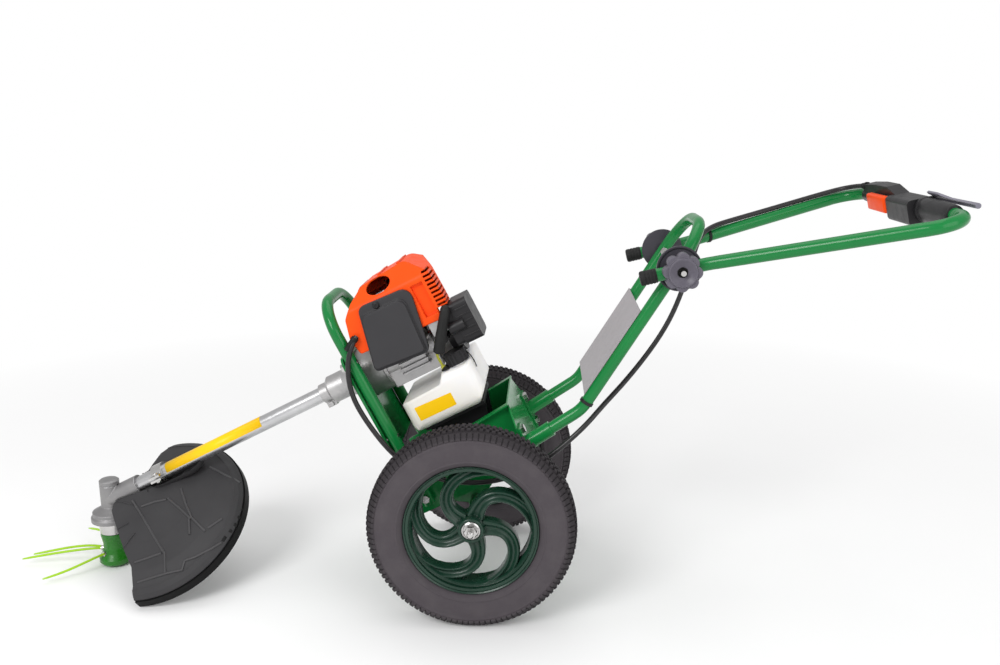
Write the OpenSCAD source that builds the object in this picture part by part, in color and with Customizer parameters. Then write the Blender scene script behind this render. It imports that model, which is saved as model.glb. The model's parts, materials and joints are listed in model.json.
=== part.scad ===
// Wheeled string trimmer: a two-wheel frame that carries a small engine, a straight
// drive tube with an angled gear head at the front, and a folding handlebar at the rear.
// +X points to the operator, +Y to the operator's right, +Z up. All lengths in millimetres.

/* [Wheels] */
// Outside diameter of the tyre
wheel_d = 324; // [300:1:340]
// Distance between the middles of the two wheels
track = 337; // [330:1:380]
// Width of the tyre
tyre_w = 57; // [48:1:66]
// Height of the tyre's section over the rim lip
tyre_high = 58; // [50:1:64]
// Depth of the tyre's bead behind the rim lip
bead_deep = 8; // [7:0.5:12]
// Width of the rim over its lips
rim_w = 44; // [40:1:48]
// Number of swirl spokes in a rim
spoke_count = 5; // [4:1:6]
// Angle that a spoke sweeps from hub to rim
spoke_sweep = 78; // [60:1:90]
// Radius of the hub
hub_r = 21; // [19:0.5:26]
// Radius of the axle rod
axle_r = 6; // [5:0.5:7]

/* [Engine place] */
// Angle of the drive tube to the ground
shaft_angle = 27; // [24:0.5:30]
// Distance of the crank point ahead of the axle
crank_ahead = 100; // [90:1:110]
// Height of the crank point above the axle
crank_rise = 239; // [232:1:246]
// Distance along the shaft from the crank point to the bevel gears
tube_reach = 615; // [590:1:640]

/* [Drive] */
// Outside radius of the drive tube
tube_r = 13; // [12:0.5:14]
// Wall of the drive tube
tube_wall = 1.6; // [1.2:0.1:2]
// Radius of the drive shaft
shaft_r = 4; // [3:0.5:5]
// Radius of the gear case round the spindle
case_r = 16.6; // [15.5:0.1:18]
// Radius of the spindle
spindle_r = 4.5; // [4:0.1:5]
// Largest radius of the trimmer head
head_r = 28; // [25:0.5:34]
// Height of the trimmer head
head_h = 58; // [50:0.5:59]
// Reach of the longest line strand from the spindle
strand_reach = 160; // [140:1:165]

/* [Guard] */
// Radius of the guard's rim
guard_r = 152; // [146:1:156]
// Height of the guard's crown over its lower edge
guard_h = 42; // [38:1:44]
// Wall of the guard
guard_wall = 2.6; // [2:0.1:3.5]
// Height of the soft skirt under the rim
skirt_h = 16; // [12:1:20]
// Roll of the guard about the drive tube
guard_roll = 36.5; // [34:0.5:39]
// Rise of the guard toward the operator
guard_rise = 11; // [9:0.5:13]

/* [Tray and hoop] */
// Half width of the tray
tray_half = 74; // [70:1:78]
// Thickness of the sheet
sheet_t = 2.5; // [2:0.1:3]
// Radius of the front hoop's tube
hoop_r = 9.5; // [8.5:0.5:10.5]
// Height of the hoop's top over the shaft
hoop_top = 138; // [130:1:150]

/* [Column] */
// Radius of the column's tube
column_r = 9.5; // [8.5:0.5:10.5]
// Half distance between the two uprights
column_half = 88; // [84:1:94]
// Slope of the column's foot
foot_angle = 34; // [30:0.5:38]
// Slope of the uprights
column_angle = 58.3; // [54:0.1:62]
// Length of the uprights from the crank to the top
column_len = 338; // [325:1:350]
// Distance of the handlebar pivot below the top of the column
pivot_drop = 71.3; // [66:0.1:80]

/* [Handlebar] */
// Radius of the handlebar's tube
bar_r = 10; // [9:0.5:11]
// Slope of the handlebar in use
bar_angle = 13.5; // [8:0.5:18]
// Angle at which the arms splay
splay = 20.5; // [14:0.5:24]
// Distance of the crossbar from the pivot
cross_at = 377; // [350:1:400]
// Outside radius of the hand grip
grip_r = 15; // [13.5:0.5:16]
// Number of lobes on a knob
knob_lobes = 8; // [6:1:10]

/* [Engine] */
// Width of the cowl
cowl_w = 150; // [144:1:156]
// Wall of the cowl
cowl_wall = 2.6; // [2:0.1:3.5]
// Number of louvre slots
louvre_count = 9; // [5:1:10]
// Number of cylinder fins
fin_count = 9; // [6:1:10]
// Radius of the starter housing
starter_r = 38; // [37:0.5:39]
// Radius of the fuel cap
cap_r = 19.5; // [18:0.5:20]

/* [Hidden] */
$fn = 48;
// one overrun for every cut that passes a face
cut = 2;
// gap between faces that only touch
seat_gap = 0.2;
// gap between pieces that pass each other
pass_gap = 0.4;
// running clearance of a shaft, on the radius
run_gap = 0.05;
// clearance of a bolt in its hole, on the radius
bolt_gap = 0.1;
// overlap of a bend into its straight run, and the step that keeps the two apart
bend_lap = 1;
bend_step = 0.12;
wheel_r = wheel_d / 2;
lip_r = wheel_r - tyre_high;
seat_r = lip_r - bead_deep;
axle_z = wheel_r;

// places in the plane of the machine
apex_x = -crank_ahead - tube_reach * cos(shaft_angle);
apex_z = axle_z + crank_rise - tube_reach * sin(shaft_angle);
bend_x = 168;
bend_rise = 164;
bend_z = axle_z + bend_rise;
pivot_at = column_len - pivot_drop;
pivot_x = bend_x + pivot_at * cos(column_angle);
pivot_z = bend_z + pivot_at * sin(column_angle);

// throttle lever over the grip: place of its hinge from the crossbar, and its free edge
lever_t = 3;
knuckle_r = 4;
knuckle_x = 22;
knuckle_z = 10;
lever_pin_r = 2.2;
lever_in = 6;
lever_high = 21;
// length limits of the whole machine and the middle of its box
x_front = apex_x - strand_reach;
x_rear = pivot_x + (cross_at + knuckle_x) * cos(bar_angle) - knuckle_z * sin(bar_angle) + knuckle_r;
mid_x = (x_front + x_rear) / 2;

// wheel parts
wheel_half_hub = 24;
hub_out = 20;
hub_recess = 5;
hub_recess_r = 15;
lip_t = 3;
barrel_wall = 5;
bush_r = 9;
bush_gap = 0.02;
spoke_deep = 20;
spoke_pocket = 6;
spoke_edge = 4;
spoke_w = 23;
spoke_soft = 1.4;
// how much wider a spoke is at the hub, and how late along its length it lies over
spoke_flare_share = 0.5;
spoke_late = 2.4;
spoke_steps = 14;
washer_t = 2;
washer_r = 13;
nut_t = 9;
nut_r = 9.8;
stud_r = 5.5;
stud_len = 8;
tip_round = 2;
groove_deep = 2.5;
// sidewall and tread outline: share of the height over the lip, share of the half width
tyre_shares = [[0.02, 0.72], [0.1, 0.88], [0.25, 0.98], [0.42, 1], [0.6, 0.98], [0.74, 0.91],
    [0.85, 0.8], [0.93, 0.63], [0.96, 0.5], [0.975, 0.42]];
groove_shares = [0.42, 0.36, 0.3, 0.12, 0.06];

// gear head, measured from the crossing of shaft and spindle
cone_near = 10;
cone_far = 22;
pinion_cone = 27.38;
gear_cone = 90 - shaft_angle - pinion_cone;
mesh_gap = 0.3;
case_bore = 13.6;
case_up = 34;
case_roof = 8;
upper_bore = 9.4;
bearing_t = 4.8;
bearing_gap = 0.05;
bell_r = 35;
bell_top = 19;
bell_low = 38;
bell_wall = 3;
neck_r = 17;
neck_end = 62;
neck_bore = 11.4;
tube_seat = 24.4;
cup_r = 23;
cup_top = 41;
cup_h = 19;
cup_wall = 2;
cup_neck_r = 9;
head_top = 60.5;
head_shares = [[0.62, 0], [0.8, 0.02], [0.8, 0.1], [0.7, 0.35], [0.7, 0.5], [0.8, 0.64],
    [1, 0.82], [1, 0.93], [0.88, 1], [0.4, 1]];
eyelet_r = 4.5;
eyelet_seat = 19;
eyelet_t = 5;
strand_r = 1.6;

// guard, measured from the middle of its lower edge
guard_back = 107.8;
guard_x = apex_x + guard_back;
guard_y = -30.2;
guard_drop = 30.1;
guard_z = apex_z - guard_drop;
// outline of the half dome from above, as shares of its radius
guard_shares = [[0, -1.03], [-0.02, -0.86], [-0.08, -0.66], [-0.21, -0.48], [-0.56, 0.06],
    [-0.57, 0.15], [-0.48, 0.32], [-0.38, 0.48], [-0.26, 0.57], [-0.2, 0.82], [0, 1.03]];
// dome section: share of the radius, share of the height
dome_shares = [[0.06, 1], [0.4, 0.96], [0.7, 0.84], [0.86, 0.72], [0.9, 0.7], [0.95, 0.58],
    [0.985, 0.44]];
skirt_t = 3;
skirt_lap = 5;
clamp_back = 107;
clamp_at = tube_reach - clamp_back;
clamp_half = 10;
clamp_r = 18;
clamp_ear = 12;
clamp_split = 3;
ear_bolt_r = 2.5;
// raised ribs of the dome: angle from the rear, and their reach as shares of the radius
rib_angles = [120, 160, 205, 240];
rib_turn = 1.6;
rib_h = 1.6;
rib_shares = [0.3, 0.86];
band_h = 1.2;
band_share = 0.9;
edge_share = 0.985;

// clutch housing and shaft, measured along the shaft from the crank point
clutch_front = -183;
clutch_neck = -168;
clutch_soft = 4;
clutch_cone = -136;
plate_front = -100;
plate_t = 4;
flange_t = 4;
flange_r = 52;
bell_clutch_r = 42;
bell_end = -60;
drum_r = 36.5;
drum_wall = 3;
drum_front = -94;
drum_end = -68;
drum_cave = 38;
cave_front = -97;
clutch_neck_r = 16.8;
clutch_cone_r = 23.5;
clutch_hip_r = 34;
ear_half = 7;
ear_low = 25;
ear_screw_r = 2.6;
ear_screw_head = 4.4;
ear_screw_out = 3;
clutch_bear_r = 12;
clutch_bear_at = -110;
tube_stop = -142;
bush_len = 18;
bush_count = 3;
hub_drum_r = 9;

// crank, cylinder and engine covers
crank_r = 8;
rotor_r = 32.4;
rotor_front = -86;
rotor_end = -66;
case_half = 58;
crank_case_r = 40;
crank_base = 38;
case_step = 36;
crank_neck_r = 30;
crank_flange_r = 46;
crank_flange_t = 5;
side_fin_x0 = -30;
side_fin_x1 = 20;
side_fin_y = -58;
side_fin_low = -22;
side_fin_high = 14;
side_fin_count = 5;
side_fin_t = 3;
fly_r = 34;
fly_front = 61;
fly_end = 70;
fly_blades = 10;
blade_t = 3;
blade_h = 4;
starter_front = 58.4;
starter_end = 76;
starter_wall = 2.5;
slot_count = 10;
slot_w = 5;
slot_in_share = 0.42;
slot_out_share = 0.8;
cyl_low = 40.4;
cyl_top = 114;
cyl_mid = 8;
cyl_core = 32;
cyl_fin = 43;
fin_t = 3;
fin_round = 10;
plug_r = 7;
plug_hex_r = 9;
plug_top = 122;
plug_y = 24;
cowl_near = -86;
// cowl outline in the plane of the shaft: along the shaft, above the shaft
cowl_x = 95;
cowl_z = 143;
cowl_shares = [[-0.69, 0.31], [0.96, 0.26], [1, 0.44], [0.95, 0.8], [0.61, 1], [-0.21, 0.96],
    [-0.46, 0.85], [-0.65, 0.72], [-0.74, 0.5]];
cowl_rounds = [4, 4, 10, 14, 16, 10, 14, 12, 14];
// section across the cowl: share of the width from the near side, share of the height
section_shares = [[0, 0], [1, 0], [1, 0.72], [0.72, 1.04], [0.25, 1.04], [0, 0.785]];
section_rounds = [4, 4, 16, 16, 14, 12];
// plan of the cowl: share of its reach along the shaft, share of the width from the near side
plan_shares = [[-0.8, -0.1], [1.05, -0.1], [1.05, 0.1], [0.68, 1.05], [-0.8, 1.05]];
plan_rounds = [4, 4, 12, 14, 4];
round_steps = 4;
hole_x = 7;
hole_w = 42;
hole_h = 33;
hole_share = 0.42;
valley_x0 = 54;
valley_x1 = 74;
valley_low = 50;
valley_high = 104;
valley_deep = 7;
louvre_t = 3.4;
louvre_len = 40;
louvre_low = 58;
louvre_high = 121;
louvre_x = 79;
rib_top_w = 6;
rib_top_h = 2.4;
rib_top_shares = [-0.3, 0.12, 0.5];
shield_deep = 12;
shield_wall = 2;
shield_x = 51;
shield_z = 110;
shield_shares = [[-1.14, 0.08], [0.7, 0.01], [1.06, 0.97], [-0.66, 1.02]];
shield_rounds = [8, 10, 16, 12];
// raised panel of the shield
panel_shares = [[-1.07, 0.12], [0.6, 0.06], [0.74, 0.87], [-0.66, 0.88]];
panel_rounds = [6, 6, 14, 10];
shield_base = 6;
shield_screw = [-0.1, 0.935];
screw_seat_r = 5.5;
muffler_x = 30;
muffler_low = 16;
muffler_high = 94;
muffler_round = 10;
muffler_deep = 34;
carb_x0 = 50;
carb_x1 = 77.6;
carb_y0 = -82.6;
carb_y1 = -56;
carb_z0 = 17;
carb_z1 = 46;
intake_w = 10;
intake_in = 52;
filter_x0 = 78;
filter_split = 92;
filter_x1 = 121;
filter_y0 = -86;
filter_y1 = -20;
filter_z0 = -14;
filter_z1 = 52;
filter_round = 9;
filter_wall = 2;
filter_ribs = 5;
filter_rib_t = 2;
filter_rib_h = 1.6;
elbow_r = 10;
elbow_z = 17;
elbow_x = 104;
tank_x = 82;
tank_z = 116;
tank_near = -72;
tank_far = 62;
tank_shares = [[-0.68, -0.9], [-0.55, -1], [0.74, -1], [1, -0.8], [1, -0.36], [0.36, -0.36],
    [0.24, -0.5], [-0.68, -0.53]];
tank_rounds = [6, 8, 14, 10, 8, 8, 8, 8];
tank_plan_round = 20;
tank_side_round = 16;
tank_top_share = 0.36;
tank_top = -tank_z * tank_top_share;
cap_x = 60;
cap_y = -52;
cap_h = 20;
cap_ribs = 18;
cap_rib_r = 2.2;
cap_lift = 0.5;
neck_tank_r = 14;
neck_tank_h = 12;
grommet_x = 35;
grommet_y = -58;
grommet_r = 4;
grommet_h = 7;
line_r = 2.2;
// fuel line: hand-set points in the frame of the engine
line_pts = [[35, -58, -38], [35, -60, -30], [36, -66, -18], [40, -72, -5], [46, -74, 7],
    [52, -74, 13], [55, -74, 16]];
stand_t = 5;
stand_x0 = -40;
stand_x1 = 66;
stand_half = 56;
leg_x0 = -22;
leg_x1 = 34;
leg_half = 30;
pull_r = 9;
pull_x0 = 52;
pull_z0 = 0;
pull_x1 = 88;
pull_z1 = 50;
pull_y = -98.5;
pull_shares = [[0, -0.13], [0.7, -0.13], [0.96, -0.1], [1, -0.04], [0.98, 0.3], [0.9, 0.6],
    [0.84, 0.85], [0.8, 1], [0.62, 1.09], [0.3, 1.12], [0, 1.12]];
guide_x = 64;
guide_z = 8;
guide_r = 6.5;
rope_r = 1.6;
post_x = 25;
post_r = 5;
post_share = 0.958;

// tray, in the frame of the engine
tray_front = -112;
tray_rear = 100;
tray_floor = -238;
tray_low_top = -153;
tray_high_top = -131;
tray_lip = 24;
tray_flange = 11;
flange_from = -66;
tray_ear = 104;
ear_top = -166;
hoop_x = -86;
hoop_foot = -226;
hoop_round = 56;
plate_top = 52;
plate_low = -128;
plate_round = 16;
frame_bolt_r = 4;
frame_head_r = 7.2;
frame_head_t = 5;
leg_bolt_shares = [0.79, 0.94];
plate_bolt_shares = [0.69, -1.92];
leg_bolt_z = [for (s = leg_bolt_shares) s * hoop_foot];
plate_bolt_z = [for (s = plate_bolt_shares) s * plate_top];
bracket_t = 4;
bracket_in = 12;
bracket_top = 46;
bracket_r = 16;
axle_ex = crank_ahead * cos(shaft_angle) - crank_rise * sin(shaft_angle);
axle_ez = -crank_ahead * sin(shaft_angle) - crank_rise * cos(shaft_angle);
collar_r = 9.5;

// column and its sockets
bend_r = 60;
top_round = 66;
wall_thin = 1.6;
socket_len = 46;
socket_wall = 2.6;
socket_pad = 17;
socket_pad_t = 3;
plate_from = 24;
plate_to = 181;
column_sheet = 1.6;

// handle parts
arm_gap = 0.4;
cup_t = 8;
disc_r = 34;
disc_wall = 2.5;
disc_hub_r = 12;
pivot_r = 4;
pivot_head_r = 7;
pivot_head_t = 5;
arm_half = column_half + column_r + cup_t + arm_gap + bar_r;
arm_front = 58;
arm_straight = 40;
splay_r = 70;
corner_r = 42;
knob_r = 23;
knob_lobe_r = 6.2;
knob_t = 13;
lobe_step = 1.2;
knob_dome = 9;
knob_rise = 7;
knob_eye_r = 8;
bolt_out = 3;
end_len = 25;
end_wall = 1.2;
end_deep = 22;
grip_from = -166;
grip_to = -62;
body_from = -60;
body_to = 182;
body_r = 14;
block_to = 30;
block_w = 40;
block_down = 24;
block_up = 15;
block_round = 7;
hump_from = 58;
hump_to = 112;
hump_end = 170.5;
hump_h = 25;
hump_low = 21;
hump_in = 11;
switch_from = 34;
switch_to = 118;
switch_w = 12;
switch_h = 27;
switch_round = 3;
switch_travel = 4;
switch_base = 15;
stop_t = 6;
stop_out = 22;
stop_half = 10;
lever_from = -190;
lever_hold = 40;
lever_shares = [[0, 1.2], [0.22, 1.2], [0.5, 0.76], [1, 0.66]];
lug_t = 8;

// throttle cable: hand-set points, on the handlebar and on the frame
cable_r = 3.4;
cable_sides = 10;
tie_t = 1.4;
tie_w = 5;
tie_at = 12;
bar_cable = [[370, 172, 17], [364, 192, 17], [350, 212, 16], [326, 220, 15], [292, 210, 14],
    [240, 191, 14], [180, 168, 14], [120, 142, 15], [92, 124, 16], [74, 112, 14]];
cable_top = [[64, 108, 25], [54, 98, -5], [36, 70, -55]];
cable_low = [[320, 40, 284], [284, 0, 240], [236, -46, 194], [200, -78, 166], [176, -104, 144],
    [136, -108, 106], [90, -110, 70], [30, -110, 44], [-40, -110, 44], [-96, -108, 62],
    [-132, -107, 92], [-158, -104, 126], [-178, -102, 156], [-192, -100, 184], [-198, -99, 214],
    [-197, -99, 246], [-190, -97, 266], [-184, -94, 275]];
frame_cable = [for (p = cable_top) p + [pivot_x, 0, pivot_z], for (p = cable_low) p + [0, 0, axle_z]];
// line strands: hand-set points from the spindle axis, heights from the crossing point
strand_in = 15;
strand_routes = [
    [[-44, -8, -93], [-84, -16, -96], [-124, -20, -102], [-150, -22, -107], [-160, -22, -109]],
    [[-46, 12, -96], [-86, 14, -101], [-126, 8, -108], [-146, 4, -111], [-154, 3, -112]],
    [[-20, -32, -97], [-38, -52, -101], [-60, -70, -107], [-82, -82, -111], [-90, -86, -112]],
    [[-26, 30, -84], [-44, 44, -84], [-64, 60, -88], [-84, 78, -96], [-92, 86, -99]]];
strand_sides = 8;

// frames
module machine() { translate([-mid_x, 0, 0]) children(); }
module at_engine() {
    machine() translate([-crank_ahead, 0, axle_z + crank_rise]) rotate([0, -shaft_angle, 0]) children();
}
module at_head() { machine() translate([apex_x, 0, apex_z]) children(); }
module at_wheel(side) {
    machine() translate([0, side * track / 2, axle_z]) rotate([-90 * side, 0, 0]) children();
}
module at_pivot() { machine() translate([pivot_x, 0, pivot_z]) children(); }
module at_bar() { at_pivot() rotate([0, -bar_angle, 0]) children(); }
module at_guard() {
    machine() translate([guard_x, guard_y, guard_z]) rotate([guard_roll, 0, 0])
        rotate([0, -guard_rise, 0]) children();
}
module side_of(side) { if (side > 0) children(); else mirror([0, 1, 0]) children(); }
// turns +Z to +X, and +Z to the outside of the given side
module along_x() { rotate([0, 90, 0]) children(); }
module out_y(side) { rotate([-90 * side, 0, 0]) children(); }

// helpers
function unit(v) = v / norm(v);
function left_of(v) = [-v.y, v.x];
function prior(list, i) = list[(i + len(list) - 1) % len(list)];
function after(list, i) = list[(i + 1) % len(list)];
function placed(shares, w, h) = [for (s = shares) [s.x * w, s.y * h]];
function turn(a) = (a + 900) % 360 - 180;
// rounds each corner of an outline with its own radius
function rounded(pts, rs) = [for (i = [0:len(pts) - 1])
    let (p = pts[i], u = unit(prior(pts, i) - p), w = unit(after(pts, i) - p))
    let (half = acos(u * w) / 2, c = p + unit(u + w) * rs[i] / sin(half))
    let (s = p + u * rs[i] / tan(half) - c, e = p + w * rs[i] / tan(half) - c)
    let (a = atan2(s.y, s.x), da = turn(atan2(e.y, e.x) - a))
    for (k = [0:round_steps]) c + rs[i] * [cos(a + da * k / round_steps),
        sin(a + da * k / round_steps)]];
// moves each edge of an outline inward; the outline turns left
function inset(pts, d) = [for (i = [0:len(pts) - 1])
    let (a = left_of(unit(pts[i] - prior(pts, i))), b = left_of(unit(after(pts, i) - pts[i])))
    pts[i] + (a + b) * d / (1 + a * b)];
function box_pts(x0, x1, y0, y1) = [[x0, y0], [x1, y0], [x1, y1], [x0, y1]];
function even(r, n) = [for (i = [1:n]) r];
// an outline along x and z, drawn from y0 to y1
module slab(pts, y0, y1) {
    translate([0, y1, 0]) rotate([90, 0, 0]) linear_extrude(y1 - y0) polygon(pts);
}
// an outline along y and z, drawn from x0 to x1
module wall_x(pts, x0, x1) {
    translate([x0, 0, 0]) rotate([90, 0, 90]) linear_extrude(x1 - x0) polygon(pts);
}
module block(x0, x1, y0, y1, z0, z1) {
    translate([x0, y0, z0]) cube([x1 - x0, y1 - y0, z1 - z0]);
}
module rod_x(r, x0, x1) { translate([x0, 0, 0]) along_x() cylinder(r = r, h = x1 - x0); }
module rod_y(r, y0, y1) { translate([0, y0, 0]) out_y(1) cylinder(r = r, h = y1 - y0); }
module ring_x(r, bore, x0, x1) {
    difference() {
        rod_x(r, x0, x1);
        rod_x(bore, x0 - cut, x1 + cut);
    }
}
module rod_z(r, z0, z1) { translate([0, 0, z0]) cylinder(r = r, h = z1 - z0); }
module ring_z(r, bore, z0, z1) {
    difference() {
        rod_z(r, z0, z1);
        rod_z(bore, z0 - cut, z1 + cut);
    }
}
// a round bar along a list of runs: [straight, bend angle, bend radius, roll before the bend]
module bent_bar(runs, r, i = 0) {
    if (i < len(runs)) {
        run = runs[i];
        cylinder(r = r, h = run[0]);
        if (run[1] > 0) translate([0, 0, run[0]]) rotate([0, 0, run[3]]) {
            lap = bend_lap / run[2] * 180 / PI;
            translate([run[2], 0, 0]) rotate([90, 0, 0]) rotate([0, 0, 180 - run[1] - lap])
                rotate_extrude(angle = run[1] + lap * 2) translate([run[2], 0])
                    circle(r = r - bend_step);
            translate([run[2] * (1 - cos(run[1])), 0, run[2] * sin(run[1])]) rotate([0, run[1], 0])
                bent_bar(runs, r, i + 1);
        }
    }
}
function longer(runs, d) = [for (i = [0:len(runs) - 1])
    [runs[i][0] + (i == 0 || i == len(runs) - 1 ? d : 0), runs[i][1], runs[i][2], runs[i][3]]];
module bent_tube(runs, r, wall) {
    difference() {
        bent_bar(runs, r);
        translate([0, 0, -cut]) bent_bar(longer(runs, cut), r - wall);
    }
}
// a tube with flat sides swept along points
function path_dir(p, i) = unit(p[min(i + 1, len(p) - 1)] - p[max(i - 1, 0)]);
function sweep_ring(p, i, r, n, side) = let (d = path_dir(p, i), u = unit(cross(d, side)),
    w = cross(d, u))
    [for (k = [0:n - 1]) p[i] + r * (cos(360 * k / n) * u + sin(360 * k / n) * w)];
module swept(p, r, n, side) {
    m = len(p);
    pts = [for (i = [0:m - 1]) each sweep_ring(p, i, r, n, side)];
    sides = [for (i = [0:m - 2], k = [0:n - 1]) let (a = i * n + k, b = i * n + (k + 1) % n)
        each [[a, a + n, b], [b, a + n, b + n]]];
    first = [for (k = [1:n - 2]) [0, k, k + 1]];
    last = [for (k = [1:n - 2]) [(m - 1) * n, (m - 1) * n + k + 1, (m - 1) * n + k]];
    polyhedron(points = pts, faces = [each sides, each first, each last]);
}
module hex_bolt(head_r, head_t, r, len) {
    translate([0, 0, -head_t]) cylinder(r = head_r, h = head_t, $fn = 6);
    cylinder(r = r, h = len);
}

// wheels
module tyre() {
    half = tyre_w / 2;
    bead = rim_w / 2 - lip_t - seat_gap;
    high = wheel_r - lip_r - seat_gap;
    low = lip_r + seat_gap;
    side = [for (s = tyre_shares) [low + s.x * high, s.y * half]];
    g = groove_shares;
    crown = [[wheel_r - groove_deep, g[1] * half], [wheel_r - groove_deep, g[2] * half],
        [wheel_r, g[2] * half], [wheel_r, g[3] * half], [wheel_r - groove_deep, g[4] * half]];
    up = [[seat_r + seat_gap, bead], [low, bead], each side, each crown];
    down = [for (i = [len(up) - 1:-1:0]) [up[i].x, -up[i].y]];
    color("#4d474c") rotate_extrude($fn = 96) polygon([each up, each down]);
}
// middle line of a spoke: radial at the hub, lying over until it runs along the barrel
spoke_start = hub_r - cut;
spoke_reach = seat_r - barrel_wall + spoke_w / 2 - spoke_start;
function spoke_turn(t) = -spoke_sweep * pow(t, spoke_late);
function spoke_mid(t) = (spoke_start + spoke_reach * t) * [cos(spoke_turn(t)), sin(spoke_turn(t))];
function spoke_way(t) = unit(spoke_mid(t + 1 / spoke_steps) - spoke_mid(max(0, t - 1 / spoke_steps)));
function spoke_half(t, edge) = spoke_w / 2 * (1 + spoke_flare_share * pow(1 - t, 3)) - edge;
function spoke_side(t0, t1, edge, way) = [for (k = [0:spoke_steps])
    let (t = t0 + (t1 - t0) * k / spoke_steps)
    spoke_mid(t) + way * spoke_half(t, edge) * left_of(spoke_way(t))];
module spoke(t0, t1, edge, z0, z1) {
    one = spoke_side(t0, t1, edge, -1);
    two = spoke_side(t0, t1, edge, 1);
    translate([0, 0, z0]) linear_extrude(z1 - z0)
        polygon([each one, each [for (k = [len(two) - 1:-1:0]) two[k]]]);
}
module spokes(t0, t1, edge, z0, z1) {
    for (k = [1:spoke_count]) rotate([0, 0, k * 360 / spoke_count]) spoke(t0, t1, edge, z0, z1);
}
module rim() {
    half = rim_w / 2;
    inner = seat_r - barrel_wall;
    deep = spoke_deep / 2;
    from = (hub_r + spoke_edge - spoke_start) / spoke_reach;
    to = (inner - spoke_edge * 2 - spoke_start) / spoke_reach;
    color("#1f4a30") difference() {
        union() {
            rotate_extrude($fn = 96) polygon([[inner, -half], [lip_r, -half], [lip_r, lip_t - half],
                [seat_r, lip_t - half], [seat_r, half - lip_t], [lip_r, half - lip_t], [lip_r, half],
                [lip_r - lip_t, half], [inner, half - lip_t * 2]]);
            rod_z(hub_r, -wheel_half_hub, hub_out);
            intersection() {
                rod_z(inner + barrel_wall / 2, -deep, deep);
                union() {
                    spokes(0, 1, 0, -deep, deep - spoke_soft);
                    spokes(0, 1, spoke_soft, -deep, deep);
                }
            }
        }
        spokes(from, to, spoke_edge, deep - spoke_pocket / 2, deep + cut);
        spokes(from, to, spoke_edge + spoke_soft * 2, deep - spoke_pocket, deep + cut);
        rod_z(bush_r, -wheel_half_hub - cut, hub_out + cut);
        rod_z(hub_recess_r, hub_out - hub_recess, hub_out + cut);
    }
}
module bush() {
    color("#b9bcc0") ring_z(bush_r - bush_gap, axle_r + run_gap, -wheel_half_hub, hub_out - hub_recess);
}
module tyre_left() { at_wheel(-1) tyre(); }
module rim_left() { at_wheel(-1) rim(); }
module bush_left() { at_wheel(-1) bush(); }
module tyre_right() { at_wheel(1) tyre(); }
module rim_right() { at_wheel(1) rim(); }
module bush_right() { at_wheel(1) bush(); }
washer_z = hub_out - hub_recess + pass_gap;
nut_z = washer_z + washer_t;
axle_end = track / 2 + nut_z + nut_t;
module axle() {
    color("#c4c6c9") machine() translate([0, 0, axle_z]) {
        rod_y(axle_r, -axle_end, axle_end);
        for (side = [-1, 1]) out_y(side) {
            rod_z(stud_r, axle_end - cut, axle_end + stud_len);
            translate([0, 0, axle_end + stud_len])
                cylinder(r1 = stud_r, r2 = stud_r - tip_round, h = tip_round);
            ring_z(collar_r, axle_r - bend_step, tray_half - bracket_in + seat_gap,
                track / 2 - wheel_half_hub - pass_gap);
        }
    }
}
module axle_fasteners() {
    color("#c4c6c9") for (side = [-1, 1]) at_wheel(side) {
        ring_z(washer_r, axle_r + bolt_gap, washer_z, nut_z);
        difference() {
            translate([0, 0, nut_z - bend_step]) cylinder(r = nut_r, h = nut_t, $fn = 6);
            rod_z(axle_r + run_gap, nut_z - cut, nut_z + nut_t + cut);
        }
    }
}

// tray and frame
module bolt_holes_legs(r) {
    for (side = [-1, 1], z = leg_bolt_z) translate([hoop_x, 0, z]) out_y(side)
        rod_z(r, tray_half - sheet_t - cut, tray_half + hoop_r * 2 + cut);
}
module engine_tray() {
    in = tray_half - sheet_t;
    low = tray_floor - sheet_t;
    back = tray_rear + sheet_t;
    wall = [[tray_front, low], [back, low], [back, tray_high_top], [tray_front, tray_low_top]];
    slope = (tray_high_top - tray_low_top) / (back - tray_front);
    flange_z = tray_low_top + slope * (flange_from - tray_front);
    color("#1f6b3a") at_engine() difference() {
        union() {
            block(tray_front, back, -tray_half, tray_half, low, tray_floor);
            slab(wall, in, tray_half);
            slab(wall, -tray_half, -in);
            for (side = [-1, 1]) side_of(side) slab([[flange_from, flange_z - sheet_t],
                [back, tray_high_top - sheet_t],
                [back, tray_high_top], [flange_from, flange_z]], in, tray_half + tray_flange);
            wall_x([[-tray_ear, low], [tray_ear, low], [tray_ear, ear_top],
                [tray_half, ear_top + tray_ear - tray_half],
                [tray_half, tray_high_top], [-tray_half, tray_high_top],
                [-tray_half, ear_top + tray_ear - tray_half], [-tray_ear, ear_top]], tray_rear, back);
            block(tray_front, tray_front + sheet_t, -tray_half, tray_half, low, tray_floor + tray_lip);
        }
        bolt_holes_legs(frame_bolt_r + bolt_gap);
        socket_bolts(frame_bolt_r + bolt_gap);
    }
}
module axle_brackets() {
    top = tray_floor - sheet_t - seat_gap;
    y1 = tray_half - bracket_in;
    color("#1c5c33") at_engine() for (side = [-1, 1]) side_of(side) difference() {
        union() {
            slab([[axle_ex - bracket_top, top], [axle_ex - bracket_r, axle_ez],
                [axle_ex + bracket_r, axle_ez],
                [axle_ex + bracket_top, top]], y1 - bracket_t, y1);
            slab(box_pts(axle_ex - bracket_top, axle_ex + bracket_top, top - bracket_t, top),
                y1 - bracket_r, y1);
            translate([axle_ex, 0, axle_ez]) rod_y(bracket_r, y1 - bracket_t, y1);
        }
        translate([axle_ex, 0, axle_ez]) rod_y(axle_r + bolt_gap, y1 - bracket_r - cut, y1 + cut);
    }
}
hoop_half = tray_half + hoop_r + seat_gap;
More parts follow.
